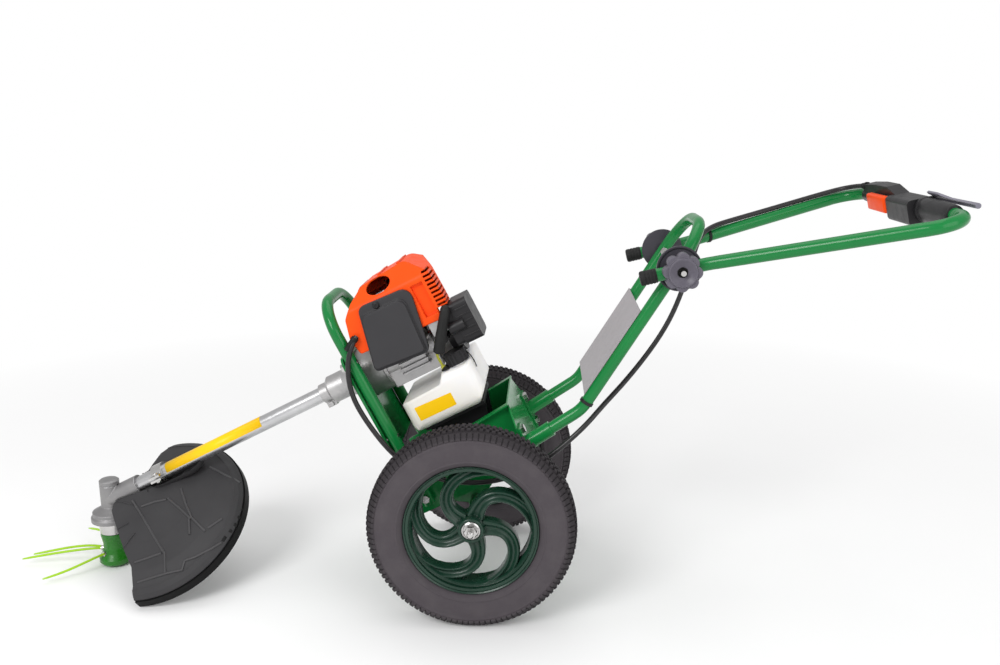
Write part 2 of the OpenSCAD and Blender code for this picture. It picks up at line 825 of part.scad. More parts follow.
hoop_runs = [[hoop_top - hoop_foot - hoop_round, 90, hoop_round, 0],
    [hoop_half * 2 - hoop_round * 2, 90, hoop_round, 0], [hoop_top - hoop_foot - hoop_round, 0, 0, 0]];
module front_hoop() {
    color("#1f7a3f") at_engine() difference() {
        translate([hoop_x, -hoop_half, hoop_foot]) rotate([0, 0, 90])
            bent_tube(hoop_runs, hoop_r, wall_thin);
        bolt_holes_legs(frame_bolt_r + bolt_gap);
        plate_bolts(frame_bolt_r + bolt_gap);
    }
}
module plate_bolts(r) {
    for (side = [-1, 1], z = plate_bolt_z) translate([0, side * hoop_half, z])
        rod_x(r, plate_front - cut, hoop_x + hoop_r + cut);
}
module hoop_plate() {
    half = hoop_half + hoop_r;
    pts = rounded(box_pts(-half, half, plate_low, plate_top), even(plate_round, 4));
    color("#1c5c33") at_engine() difference() {
        wall_x(pts, plate_front, plate_front + plate_t);
        rod_x(bell_clutch_r + pass_gap, plate_front - cut, plate_front + plate_t + cut);
        plate_bolts(frame_bolt_r + bolt_gap);
    }
}
// column foot in the frame of the engine
foot_turn = foot_angle - shaft_angle;
foot_ex = (bend_x + crank_ahead) * cos(shaft_angle) + (bend_z - axle_z - crank_rise) * sin(shaft_angle);
foot_ez = (bend_z - axle_z - crank_rise) * cos(shaft_angle) - (bend_x + crank_ahead) * sin(shaft_angle);
socket_ex = tray_rear + sheet_t + seat_gap;
socket_ez = foot_ez - (foot_ex - socket_ex) * tan(foot_turn);
foot_len = (foot_ex - socket_ex) / cos(foot_turn);
module socket_bolts(r) {
    for (side = [-1, 1], way = [-1, 1])
        translate([0, side * column_half, socket_ez + way * (socket_pad + frame_head_r)])
            rod_x(r, tray_rear - cut, socket_ex + socket_pad_t + cut);
}
module column_sockets() {
    pad = socket_pad + frame_head_r * 2;
    color("#1f7a3f") at_engine() difference() {
        for (side = [-1, 1]) translate([socket_ex, side * column_half, socket_ez]) {
            block(0, socket_pad_t, -socket_pad, socket_pad, -pad, pad);
            rotate([0, -foot_turn, 0]) difference() {
                rod_x(column_r + socket_wall, socket_pad_t / 2, socket_len);
                rod_x(column_r + bolt_gap, socket_pad_t + cut, socket_len + cut);
            }
        }
        socket_bolts(frame_bolt_r + bolt_gap);
    }
}
module frame_bolts() {
    color("#c4c6c9") at_engine() {
        for (side = [-1, 1], z = leg_bolt_z) translate([hoop_x,
            side * (tray_half + hoop_r * 2 + seat_gap * 2), z])
            out_y(-side) hex_bolt(frame_head_r, frame_head_t, frame_bolt_r,
                hoop_r * 2 + sheet_t + seat_gap * 2);
        for (side = [-1, 1], z = plate_bolt_z) translate([plate_front - seat_gap, side * hoop_half, z])
            along_x() hex_bolt(frame_head_r, frame_head_t, frame_bolt_r, plate_t + hoop_r * 2);
        for (side = [-1, 1], way = [-1, 1]) translate([socket_ex + socket_pad_t + seat_gap,
            side * column_half,
            socket_ez + way * (socket_pad + frame_head_r)]) rotate([0, -90, 0])
                hex_bolt(frame_head_r, frame_head_t, frame_bolt_r, socket_pad_t + sheet_t);
    }
}
upright_turn = column_angle - foot_angle;
bend_tan = bend_r * tan(upright_turn / 2);
foot_start = socket_pad_t + cut + pass_gap;
column_runs = [[foot_len - bend_tan - foot_start, upright_turn, bend_r, 0],
    [column_len - bend_tan - top_round, 90, top_round, -90],
    [column_half * 2 - top_round * 2, 90, top_round, 0],
    [column_len - bend_tan - top_round, upright_turn, bend_r, 90],
    [foot_len - bend_tan - foot_start, 0, 0, 0]];
module column_hoop() {
    color("#1f7a3f") difference() {
        at_engine() translate([socket_ex, -column_half, socket_ez]) rotate([0, -foot_turn, 0])
            translate([foot_start, 0, 0]) rotate([0, 90, 0]) rotate([0, 0, 180])
                bent_tube(column_runs, column_r, wall_thin);
        at_pivot() rod_y(pivot_r + bolt_gap, -column_half - column_r - cut,
            column_half + column_r + cut);
    }
}
module at_column() { machine() translate([bend_x, 0, bend_z]) rotate([0, -column_angle, 0])
    children(); }
module column_plate() {
    half = column_half + column_r;
    up = column_r + seat_gap;
    out = half + seat_gap + column_sheet;
    color("#b9babd") at_column() {
        block(plate_from, plate_to, -out, out, up, up + column_sheet);
        for (side = [-1, 1]) side_of(side) block(plate_from, plate_to, out - column_sheet, out,
            -column_r / 2, up + column_sheet);
    }
}

// handlebar joint
cup_in = column_half + column_r + seat_gap;
cup_out = arm_half - bar_r - seat_gap;
module pivot_cups() {
    deep = cup_out - cup_in;
    color("#2b292c") at_pivot() for (side = [-1, 1]) out_y(side) translate([0, 0, cup_in])
        difference() {
        rotate_extrude() polygon([[pivot_r + bolt_gap, 0], [disc_hub_r, 0], [disc_r, deep / 2],
            [disc_r, deep],
            [disc_r - disc_wall, deep], [disc_r - disc_wall * 2, deep - disc_wall],
                [disc_hub_r, deep - disc_wall],
            [disc_hub_r, deep], [pivot_r + bolt_gap, deep]]);
    }
}
knob_in = arm_half + bar_r + seat_gap;
bolt_end = knob_in + knob_t + knob_dome + bolt_out;
module pivot_bolts() {
    color("#c4c6c9") at_pivot() for (side = [-1, 1]) out_y(side)
        translate([0, 0, column_half - column_r - seat_gap])
            hex_bolt(pivot_head_r, pivot_head_t, pivot_r, bolt_end - column_half + column_r);
}
module knob() {
    color("#4a474c") difference() {
        union() {
            rod_z(knob_r, 0, knob_t);
            for (k = [1:knob_lobes]) rotate([0, 0, k * 360 / knob_lobes])
                translate([knob_r, 0, lobe_step])
                cylinder(r = knob_lobe_r, h = knob_t - lobe_step * 2);
            translate([0, 0, knob_t]) cylinder(r1 = knob_r - knob_rise / 2, r2 = knob_r - knob_rise,
                h = knob_dome);
        }
        rod_z(pivot_r + run_gap, -cut, knob_t + knob_dome + cut);
        rod_z(knob_eye_r, knob_t + knob_dome / 2, knob_t + knob_dome + cut);
    }
}
module knob_left() { at_pivot() out_y(-1) translate([0, 0, knob_in]) knob(); }
module knob_right() { at_pivot() out_y(1) translate([0, 0, knob_in]) knob(); }
corner_turn = 90 + splay;
splay_tan = splay_r * tan(splay / 2);
corner_tan = corner_r * tan(corner_turn / 2);
corner_y = arm_half + (cross_at - arm_straight) * tan(splay);
slant = (cross_at - arm_straight) / cos(splay) - splay_tan - corner_tan;
bar_runs = [[arm_front + arm_straight - splay_tan, splay, splay_r, 0],
    [slant, corner_turn, corner_r, 180],
    [corner_y * 2 - corner_tan * 2, corner_turn, corner_r, 0], [slant, splay, splay_r, 180],
    [arm_front + arm_straight - splay_tan, 0, 0, 0]];
module handlebar_tube() {
    color("#1f7a3f") difference() {
        at_bar() translate([-arm_front, -arm_half, 0]) rotate([0, 90, 0]) rotate([0, 0, -90])
            bent_tube(bar_runs, bar_r, wall_thin);
        at_pivot() rod_y(pivot_r + run_gap, -arm_half - bar_r - cut, arm_half + bar_r + cut);
    }
}
module end_plugs() {
    color("#1d1c1e") at_bar() for (side = [-1, 1]) translate([-arm_front, side * arm_half, 0])
        difference() {
        rod_x(bar_r + end_wall, end_deep - end_len, end_deep);
        rod_x(bar_r + run_gap, 0, end_deep + cut);
    }
}
module at_cross() { at_bar() translate([cross_at, 0, 0]) children(); }
module hand_grip() {
    len = grip_to - grip_from;
    thin = grip_r - bar_r;
    color("#3a383a") at_cross() translate([0, grip_from, 0]) out_y(1) rotate_extrude()
        polygon([[bar_r + run_gap, 0], [grip_r - thin / 4, 0], [grip_r, thin / 2],
            [grip_r - thin / 4, len / 3],
            [grip_r, len / 2], [grip_r - thin / 4, len * 2 / 3], [grip_r, len - thin / 2],
                [grip_r, len], [bar_r + run_gap, len]]);
}
module throttle_housing() {
    face = rounded(box_pts(-block_w + block_up, block_up, -block_down, block_up), even(block_round, 4));
    neck = body_to - block_to;
    color("#262427") at_cross() {
        difference() {
            union() {
                slab(face, body_from, block_to);
                rod_y(body_r, block_to - cut, body_to - neck / 4);
                translate([0, body_to - neck / 4, 0]) out_y(1)
                    cylinder(r1 = body_r, r2 = bar_r + end_wall * 2, h = neck / 4);
                wall_x([[block_to - block_round, 0], [block_to - block_round, block_up],
                    [hump_from, hump_h],
                    [hump_to, hump_h], [hump_end, hump_low], [hump_end, 0]], -hump_in, hump_in);
                slab(box_pts(-switch_base, 0, -stop_half, stop_half), block_to - cut,
                    switch_to + stop_t);
                slab(box_pts(-stop_out, 0, -stop_half, stop_half), switch_to, switch_to + stop_t);
                slab(rounded(box_pts(0, knuckle_x + knuckle_r, knuckle_z - knuckle_r,
                    knuckle_z + knuckle_r),
                    even(knuckle_r / 2, 4)), body_from, body_from + lug_t);
            }
            rod_y(bar_r + run_gap, body_from - cut, body_to + cut);
        }
        translate([knuckle_x, 0, knuckle_z]) rod_y(lever_pin_r, body_from - lever_hold,
            body_from + lug_t / 2);
    }
}
module stop_switch() {
    color("#e8451f") at_cross() translate([-switch_base - pass_gap - switch_w, 0, 0])
        slab(rounded(box_pts(0, switch_w, -switch_h / 2, switch_h / 2), even(switch_round, 4)),
            switch_from, switch_to - switch_travel - pass_gap);
}
module throttle_lever() {
    end = body_from - pass_gap;
    blade = lever_from - end;
    color("#6d6a76") at_cross() difference() {
        union() {
            intersection() {
                wall_x([[end, 0], for (s = lever_shares) [end + s.x * blade, s.y * lever_high],
                    [lever_from, 0]],
                    0, knuckle_x);
                slab([[knuckle_x - knuckle_r / 2, knuckle_z], [knuckle_x, knuckle_z + knuckle_r / 2],
                    [lever_in + lever_t, lever_high + lever_t], [lever_in, lever_high + lever_t / 2],
                    [lever_in + lever_t / 2, lever_high - lever_t / 2]], lever_from, end);
            }
            translate([knuckle_x, 0, knuckle_z]) rod_y(knuckle_r, lever_from, end);
        }
        translate([knuckle_x, 0, knuckle_z]) rod_y(lever_pin_r + run_gap,
            body_from - lever_hold - pass_gap, end + cut);
    }
}

// throttle cable
module bar_cable_run() { color("#1b1a1b") at_bar() swept(bar_cable, cable_r, cable_sides, [0, 0, 1]); }
module frame_cable_run() { color("#1b1a1b") machine()
    swept(frame_cable, cable_r, cable_sides, [0, 1, 0]); }
module cable_ties() {
    color("#161616") at_column() for (side = [-1]) translate([0, side * column_half, 0])
        ring_x(column_r + seat_gap + tie_t, column_r + seat_gap, tie_at, tie_at + tie_w);
}

// drive line, measured along the shaft
module drive_tube() {
    color("#b9bcc0") at_engine() ring_x(tube_r, tube_r - tube_wall,
        tube_seat + seat_gap - tube_reach, tube_stop - seat_gap);
}
tube_in = tube_r - tube_wall;
module clutch_shell() {
    along_x() rotate_extrude() polygon([[shaft_r * 2, clutch_front], [clutch_neck_r, clutch_front],
        [clutch_neck_r, clutch_neck], [clutch_cone_r - clutch_soft, clutch_neck],
        [clutch_cone_r, clutch_neck + clutch_soft], [clutch_cone_r, clutch_cone],
        [clutch_hip_r, plate_front - flange_t - seat_gap],
            [flange_r, plate_front - flange_t - seat_gap],
        [flange_r, plate_front - seat_gap], [bell_clutch_r, plate_front - seat_gap],
            [bell_clutch_r, bell_end],
        [drum_cave, bell_end], [drum_cave, cave_front], [shaft_r * 2, cave_front]]);
}
module clutch_housing() {
    color("#c1c3c6") at_engine() difference() {
        union() {
            clutch_shell();
            block(clutch_front, clutch_neck + cut, -ear_half, ear_half, -ear_low, 0);
            translate([(clutch_front + clutch_neck) / 2, 0,
                (clutch_neck_r - tube_r) / 2 - ear_low + ear_screw_r])
                rod_y(ear_screw_head, -ear_half - ear_screw_out, ear_half + ear_screw_out);
        }
        rod_x(tube_r + run_gap, clutch_front - cut, tube_stop);
        rod_x(clutch_bear_r, clutch_bear_at - bearing_t, cave_front + cut);
        block(clutch_front - cut, clutch_neck, -clamp_split / 2, clamp_split / 2, -ear_low - cut, 0);
    }
}
pinion_end = cone_far * cos(pinion_cone);
module drive_shaft() {
    color("#a9acb0") at_engine() rod_x(shaft_r, pinion_end - tube_reach, drum_front + drum_wall);
}
module clutch_drum() {
    color("#8d9095") at_engine() {
        difference() {
            rod_x(drum_r, drum_front, drum_end);
            rod_x(drum_r - drum_wall, drum_front + drum_wall * 2, drum_end + cut);
            rod_x(shaft_r + bush_gap, drum_front - cut, drum_front + drum_wall + bush_gap);
        }
        ring_x(hub_drum_r, shaft_r + bush_gap, clutch_bear_at + bearing_t + pass_gap, drum_front);
    }
}
module bevel(half_angle, near, far) {
    gap = mesh_gap / cos(half_angle);
    z0 = near * cos(half_angle);
    z1 = far * cos(half_angle);
    translate([0, 0, z0]) cylinder(r1 = near * sin(half_angle) - gap,
        r2 = far * sin(half_angle) - gap, h = z1 - z0);
}
module pinion() {
    color("#7f8287") at_engine() translate([-tube_reach, 0, 0]) along_x()
        bevel(pinion_cone, cone_near, cone_far);
}
gear_end = cone_far * cos(gear_cone);
low_bear = gear_end + mesh_gap;
module gear_case() {
    tilt = 90 - shaft_angle;
    color("#a3a5a8") at_head() difference() {
        union() {
            rod_z(case_r, -bell_top, case_up);
            translate([0, 0, case_up]) cylinder(r1 = case_r, r2 = case_r - case_roof / 3,
                h = case_roof / 4);
            translate([0, 0, case_up + case_roof / 4])
                cylinder(r1 = case_r - case_roof / 2, r2 = case_r - case_roof, h = case_roof / 8);
            rotate([0, tilt, 0]) rod_z(neck_r, 0, neck_end);
            rotate_extrude() polygon([[0, -bell_top + bell_wall * 2],
                [case_r, -bell_top + bell_wall * 2],
                [bell_r - bell_wall * 3, -bell_top], [bell_r - bell_wall, -bell_top - bell_wall],
                [bell_r - bell_wall, -bell_top - bell_wall * 3], [bell_r, -bell_top - bell_wall * 4],
                [bell_r, -bell_low], [0, -bell_low]]);
        }
        ring_z(case_r + cut, case_r - bell_wall / 3, case_up - case_roof,
            case_up - case_roof + bell_wall / 2);
        rod_z(case_bore, -low_bear - bearing_t, case_bore);
        rod_z(upper_bore, 0, case_up - case_roof);
        rotate([0, tilt, 0]) rod_z(neck_bore, 0, tube_seat);
        rotate([0, tilt, 0]) rod_z(tube_r + run_gap, tube_seat, neck_end + cut);
        rod_z(bell_r - bell_wall * 2, -bell_low - cut, -low_bear - bearing_t - bell_wall);
        rod_z(cup_neck_r + pass_gap, -bell_low - cut, -low_bear);
    }
}
module shaft_bearings() {
    first = tube_seat + bush_len * 2 - tube_reach;
    last = tube_stop - bush_len * 2;
    color("#85888c") {
        at_engine() for (k = [0:bush_count - 1]) let (x = first + (last - first) * k / (bush_count - 1))
            ring_x(tube_in - bearing_gap, shaft_r + run_gap, x - bush_len / 2, x + bush_len / 2);
        at_engine() ring_x(clutch_bear_r - bearing_gap, shaft_r + run_gap,
            clutch_bear_at - bearing_t + seat_gap, clutch_bear_at + bearing_t);
        at_head() ring_z(case_bore - bearing_gap, spindle_r + run_gap,
            -low_bear - bearing_t + bearing_gap, -low_bear);
        at_head() ring_z(upper_bore - bearing_gap, spindle_r + run_gap, case_bore + bearing_gap,
            case_bore + bearing_t);
        at_engine() translate([-tube_reach, 0, 0]) ring_x(neck_bore - bearing_gap, shaft_r + run_gap,
            pinion_end + pass_gap, tube_seat - seat_gap);
    }
}
spindle_end = head_top + head_h / 2;
module spindle() {
    color("#a9acb0") at_head() rod_z(spindle_r, -spindle_end, case_bore + bearing_t + pass_gap);
}
module bevel_gear() {
    color("#7f8287") at_head() rotate([180, 0, 0]) difference() {
        bevel(gear_cone, cone_near, cone_far);
        rod_z(spindle_r + bush_gap, 0, cone_far);
    }
}
module adaptor_cup() {
    color("#c1c3c6") at_head() rotate([180, 0, 0]) difference() {
        union() {
            rod_z(cup_neck_r, low_bear + bearing_t + pass_gap, cup_top + cup_wall);
            rod_z(cup_r, cup_top, cup_top + cup_h);
        }
        rod_z(spindle_r + bush_gap, 0, cup_top + cup_h);
        ring_z(cup_r - cup_wall, cup_neck_r, cup_top + cup_wall, cup_top + cup_h + cut);
    }
}
module trimmer_head() {
    pts = [for (s = head_shares) [s.x * head_r, head_top + s.y * head_h]];
    color("#2e7d22") at_head() rotate([180, 0, 0]) difference() {
        rotate_extrude() polygon([[0, head_top], each pts, [0, head_top + head_h]]);
        rod_z(spindle_r + bush_gap, 0, spindle_end + bush_gap);
        for (r = strand_routes) strand_way(r) {
            rod_x(strand_r + pass_gap, 0, head_r + cut);
            rod_x(eyelet_r + seat_gap, eyelet_seat, head_r + cut);
        }
    }
}
// the straight way out of the head that a strand leaves by
module strand_way(route) {
    mirror([0, 1, 0]) rotate([0, 0, atan2(route[0].y, route[0].x)]) translate([0, 0, -route[0].z])
        children();
}
module line_eyelets() {
    color("#b4b6b9") at_head() rotate([180, 0, 0]) for (r = strand_routes) strand_way(r)
        ring_x(eyelet_r, strand_r + pass_gap / 2, eyelet_seat + seat_gap,
            eyelet_seat + seat_gap + eyelet_t);
}
function strand_pts(r) = [[each unit([r[0].x, r[0].y]) * strand_in, r[0].z], each r];
module line_strands() {
    color("#a8cf1f") at_head() for (r = strand_routes)
        swept(strand_pts(r), strand_r, strand_sides, [0, 0, 1]);
}

// guard
module guard_plan(grow) {
    front = [for (s = guard_shares) s * (guard_r + grow)];
    reach = guard_r + grow;
    polygon([each front, [reach, reach], [reach * 2, reach], [reach * 2, -reach * 2], [0, -reach * 2]]);
}
module guard() {
    top = [for (s = dome_shares) [s.x * guard_r, s.y * guard_h]];
    under = [for (s = dome_shares) [s.x * guard_r - (s.x > band_share ? guard_wall : 0),
        s.y * guard_h - guard_wall]];
    low = skirt_h - skirt_lap;
    rim_out = guard_r - skirt_t - seat_gap;
    color("#3d3d3e") at_guard() difference() {
        intersection() {
            union() {
                rotate_extrude($fn = 96) polygon([[0, guard_h], each top, [rim_out, skirt_h],
                    [rim_out, low],
                    [rim_out - guard_wall, low], each [for (i = [len(under) - 1:-1:0]) under[i]],
                    [0, guard_h - guard_wall]]);
                for (a = rib_angles) rotate([0, 0, a])
                    dome_rib(rib_turn, rib_shares[0], rib_shares[1], rib_h);
                dome_rib(360, band_share, edge_share, band_h);
            }
            translate([0, 0, -guard_h]) linear_extrude(guard_h * 3) guard_plan(0);
        }
        guard_tube_cut();
    }
}
// height of the dome over its lower edge at a share of its radius
function dome_at(s) = guard_h * lookup(s, dome_shares);
module dome_rib(turn_by, from, to, high) {
    over = [for (s = dome_shares) if (s.x > from && s.x < to) s.x];
    line = [from, each over, to];
    rotate_extrude(angle = turn_by, $fn = 96) polygon([
        each [for (s = line) [s * guard_r, dome_at(s) - guard_wall / 2]],
        each [for (i = [len(line) - 1:-1:0]) [line[i] * guard_r, dome_at(line[i]) + high]]]);
}
// room for the drive tube and its clamp over the dome
module guard_tube_cut() {
    rotate([0, guard_rise, 0]) rotate([-guard_roll, 0, 0]) translate([-guard_x, -guard_y, -guard_z])
        translate([-crank_ahead, 0, axle_z + crank_rise]) rotate([0, -shaft_angle, 0])
            rod_x(clamp_r + pass_gap, -tube_reach, clutch_front);
}
module guard_skirt() {
    color("#161616") at_guard() intersection() {
        ring_z(guard_r, guard_r - skirt_t, 0, skirt_h);
        translate([0, 0, -guard_h]) linear_extrude(guard_h * 3) guard_plan(0);
    }
}
module guard_clamp() {
    color("#b4b6b9") at_engine() translate([-clamp_at, 0, 0]) difference() {
        union() {
            rod_x(clamp_r, -clamp_half, clamp_half);
            block(-clamp_half, clamp_half, -clamp_ear - clamp_r, 0, -clamp_half / 2, clamp_half / 2);
        }
        rod_x(tube_r + run_gap, -clamp_half - cut, clamp_half + cut);
        block(-clamp_half - cut, clamp_half + cut, -clamp_ear * 4, 0, -clamp_split / 2,
            clamp_split / 2);
        translate([0, -clamp_r - clamp_ear / 3, 0]) rod_z(ear_bolt_r, -clamp_half, clamp_half);
    }
}

// engine
fin_step = (side_fin_high - side_fin_low - side_fin_t) / (side_fin_count - 1);
module crankcase() {
    color("#b3b5b8") at_engine() difference() {
        union() {
            rod_x(crank_case_r, -case_half, case_step);
            rod_x(crank_neck_r, 0, case_half);
            rod_x(crank_flange_r, -case_half - seat_gap, crank_flange_t - case_half);
            block(-case_half + crank_flange_t, case_step - cut, -crank_base, crank_base,
                -crank_base, crank_case_r);
            block(side_fin_x0 + side_fin_t, side_fin_x1 - side_fin_t, side_fin_y + side_fin_t * 2, 0,
                side_fin_low, side_fin_high);
            for (k = [0:side_fin_count - 1]) translate([0, 0, side_fin_low + fin_step * k])
                block(side_fin_x0, side_fin_x1, side_fin_y, 0, 0, side_fin_t);
        }
        rod_x(crank_r + run_gap, -case_half - cut, case_half + cut);
    }
}
module crankshaft() {
    color("#8d9095") at_engine() {
        rod_x(crank_r, rotor_front, fly_end);
        ring_x(rotor_r, crank_r - bend_step, rotor_front, rotor_end);
        ring_x(fly_r, crank_r - bend_step, fly_front, fly_end - blade_h);
        for (k = [1:fly_blades]) rotate([k * 360 / fly_blades, 0, 0])
            block(fly_end - blade_h - blade_t, fly_end, fly_r / 2, fly_r - blade_t, -blade_t / 2,
                blade_t / 2);
    }
}
module starter_housing() {
    color("#2b292c") at_engine() difference() {
        rod_x(starter_r, starter_front, starter_end);
        rod_x(starter_r - starter_wall, starter_front - cut, starter_end - starter_wall);
        for (k = [1:slot_count]) rotate([k * 360 / slot_count, 0, 0])
            block(starter_end - starter_wall * 2, starter_end + cut, starter_r * slot_in_share,
                starter_r * slot_out_share,
                -slot_w / 2, slot_w / 2);
        translate([guide_x, 0, guide_z]) rod_y(rope_r + bolt_gap, pull_y, 0);
    }
    color("#2b292c") at_engine() translate([guide_x, 0, guide_z]) difference() {
        rod_y(guide_r, pull_y + pull_r + seat_gap, starter_wall - starter_r);
        rod_y(rope_r + bolt_gap, pull_y, 0);
    }
}
module cylinder_block() {
    step = (cyl_top - cyl_low) / fin_count;
    color("#7d7f83") at_engine() {
        block(cyl_mid - cyl_core, cyl_mid + cyl_core, -cyl_core, cyl_core, cyl_low, cyl_top);
        translate([post_x, 0, 0]) rod_z(post_r, cyl_top - cut, cowl_z * post_share);
        for (k = [1:fin_count]) translate([cyl_mid, 0, cyl_low + step * k - fin_t])
            linear_extrude(fin_t)
            polygon(rounded(box_pts(-cyl_fin, cyl_fin, -cyl_fin, cyl_fin), even(fin_round, 4)));
    }
}
module spark_plug() {
    color("#d9d6cf") at_engine() translate([cyl_mid, plug_y, 0]) {
        rod_z(plug_r, cyl_top + seat_gap, plug_top);
        translate([0, 0, cyl_top + seat_gap]) cylinder(r = plug_hex_r, h = plug_r, $fn = 6);
    }
}
function cowl_pts() = placed(cowl_shares, cowl_x, cowl_z);
function plan_pts() = [for (s = plan_shares) [s.x * cowl_x, cowl_near + s.y * cowl_w]];
function section_pts() = [for (s = section_shares) [cowl_near + s.x * cowl_w, s.y * cowl_z]];
shoulder = section_pts()[5];
shoulder_top = section_pts()[4];
shoulder_angle = atan2(shoulder_top.y - shoulder.y, shoulder_top.x - shoulder.x);
// outer form of the cowl, or its inside when moved in
module cowl_form(wall_in, drop) {
    side = [for (i = [0:len(cowl_shares) - 1]) cowl_pts()[i] - [0, i < 2 ? drop : 0]];
    intersection() {
        slab(rounded(inset(side, wall_in), cowl_rounds), cowl_near - cut, cowl_near + cowl_w + cut);
        wall_x(rounded(inset(section_pts(), wall_in), section_rounds), -cowl_x, cowl_x + cut);
        linear_extrude(cowl_z) polygon(rounded(inset(plan_pts(), wall_in), plan_rounds));
    }
}
module cowl_hole() {
    mid = shoulder + (shoulder_top - shoulder) * hole_share;
    translate([hole_x, mid.x, mid.y]) rotate([shoulder_angle, 0, 0]) translate([0, 0, -hole_h / 2])
        linear_extrude(hole_h) polygon([for (a = [0:12:348]) [hole_w / 2 * cos(a),
            hole_h / 2 * sin(a)]]);
}
module cowl() {
    step = (louvre_high - louvre_low) / louvre_count;
    valley = cowl_near + valley_deep;
    color("#e8531f") at_engine() difference() {
        union() {
            cowl_form(0, 0);
            for (s = rib_top_shares) translate([s * cowl_x, 0, 0]) intersection() {
                block(-rib_top_w / 2, rib_top_w / 2, shoulder_top.x,
                    cowl_near + cowl_w * section_shares[3].x,
                    cowl_z / 2, cowl_z + rib_top_h);
                translate([-s * cowl_x, 0, rib_top_h]) cowl_form(0, 0);
            }
        }
        difference() {
            cowl_form(cowl_wall, cowl_wall * 3);
            block(valley_x0 - cowl_wall, valley_x1 + cowl_wall, cowl_near - cut, valley + cowl_wall,
                valley_low - cowl_wall, valley_high + cowl_wall);
        }
        block(valley_x0, valley_x1, cowl_near - cut, valley, valley_low, valley_high);
        cowl_hole();
        block(filter_x0 - cut, cowl_x + cut, cowl_near - cut, filter_y1 + filter_wall + cut,
            0, filter_z1 + filter_wall + cut);
        for (k = [0:louvre_count - 1]) let (z = louvre_low + step * k)
            block(louvre_x, cowl_x + cut, cowl_near - cut, cowl_near + louvre_len, z, z + louvre_t);
    }
}
module heat_shield() {
    outer = placed(shield_shares, shield_x, shield_z);
    panel = placed(panel_shares, shield_x, shield_z);
    y1 = cowl_near - seat_gap;
    y0 = y1 - shield_deep;
    mid = y1 - shield_base;
    color("#3b3a3c") at_engine() difference() {
        union() {
            slab(rounded(outer, shield_rounds), mid, y1);
            slab(rounded(inset(panel, -shield_wall), panel_rounds), mid - shield_wall,
                mid + shield_wall / 2);
            slab(rounded(panel, panel_rounds), y0, mid);
        }
        slab(rounded(inset(outer, shield_wall), shield_rounds), mid + shield_wall, y1 + cut);
        slab(rounded(inset(panel, shield_wall), panel_rounds), y0 + shield_wall, y1 + cut);
        translate([shield_screw.x * shield_x, 0, shield_screw.y * shield_z])
            rod_y(screw_seat_r, mid - cut, mid + shield_wall / 2);
    }
}
module muffler() {
    y1 = -cyl_fin - seat_gap;
    pts = rounded(box_pts(cyl_mid - muffler_x, cyl_mid + muffler_x, muffler_low, muffler_high),
        even(muffler_round, 4));
    color("#77777a") at_engine() difference() {
        slab(pts, y1 - muffler_deep, y1);
        rod_x(crank_case_r + pass_gap, -case_half, case_half);
    }
}
module carburettor() {
    color("#8f9296") at_engine() {
        block(carb_x0, carb_x1, carb_y0, carb_y1, carb_z0, carb_z1);
        block(carb_x0, carb_x0 + intake_w, carb_y1 - cut, -crank_base - seat_gap,
            carb_z0 + carb_z1 / 5, carb_z1 - cut * 4);
        block(carb_x0 - intake_w, carb_x0 + cut, -intake_in, -crank_base - seat_gap,
            carb_z0 + carb_z1 / 5, carb_z1 - cut * 4);
    }
}
module air_filter() {
    pts = rounded(box_pts(filter_y0, filter_y1, filter_z0, filter_z1), even(filter_round, 4));
    lid = rounded(inset(box_pts(filter_y0, filter_y1, filter_z0, filter_z1), -filter_wall),
        even(filter_round, 4));
    step = (filter_z1 - filter_z0) / (filter_ribs + 1);
    color("#232124") at_engine() {
        wall_x(pts, filter_x0, filter_split);
        wall_x(lid, filter_split, filter_x1);
        translate([0, filter_y0, elbow_z]) rod_x(elbow_r, filter_x0, elbow_x);
        for (k = [1:filter_ribs]) block(filter_split + filter_wall, filter_x1 - filter_wall,
            filter_y0 - filter_wall - filter_rib_h,
            filter_y0, filter_z0 + step * k - filter_rib_t / 2,
                filter_z0 + step * k + filter_rib_t / 2);
    }
}
module starter_grip() {
    turn_y = atan2(pull_z1 - pull_z0, pull_x1 - pull_x0);
    long = norm([pull_x1 - pull_x0, pull_z1 - pull_z0]);
    color("#1d1c1e") at_engine() translate([pull_x0, pull_y, pull_z0]) rotate([0, -turn_y, 0]) {
        along_x() rotate_extrude() polygon([each [for (s = pull_shares) [s.x * pull_r, s.y * long]]]);
    }
}
module at_cap() { at_engine() translate([cap_x, cap_y, tank_top]) children(); }
module fuel_tank() {
    plan = rounded(box_pts(tank_shares[0].x * tank_x, tank_x, tank_near, tank_far),
        even(tank_plan_round, 4));
    color("#ecebe4") {
        at_engine() intersection() {
            slab(rounded(placed(tank_shares, tank_x, tank_z), tank_rounds), tank_near, tank_far);
            translate([0, 0, -tank_z * 2]) linear_extrude(tank_z * 2) polygon(plan);
            wall_x(rounded(box_pts(tank_near, tank_far, -tank_z, tank_top), even(tank_side_round, 4)),
                -tank_x * 2, tank_x * 2);
        }
        at_cap() rod_z(neck_tank_r, -cut, neck_tank_h);
    }
}
module fuel_cap() {
    color("#232124") at_cap() difference() {
        union() {
            rod_z(cap_r - cap_rib_r / 2, cap_lift, cap_lift + cap_h);
            for (k = [1:cap_ribs]) rotate([0, 0, k * 360 / cap_ribs])
                translate([cap_r - cap_rib_r, 0, cap_lift])
                cylinder(r = cap_rib_r, h = cap_h - cap_rib_r, $fn = 16);
        }
        rod_z(neck_tank_r + run_gap, -cut, neck_tank_h + cap_lift);
    }
}
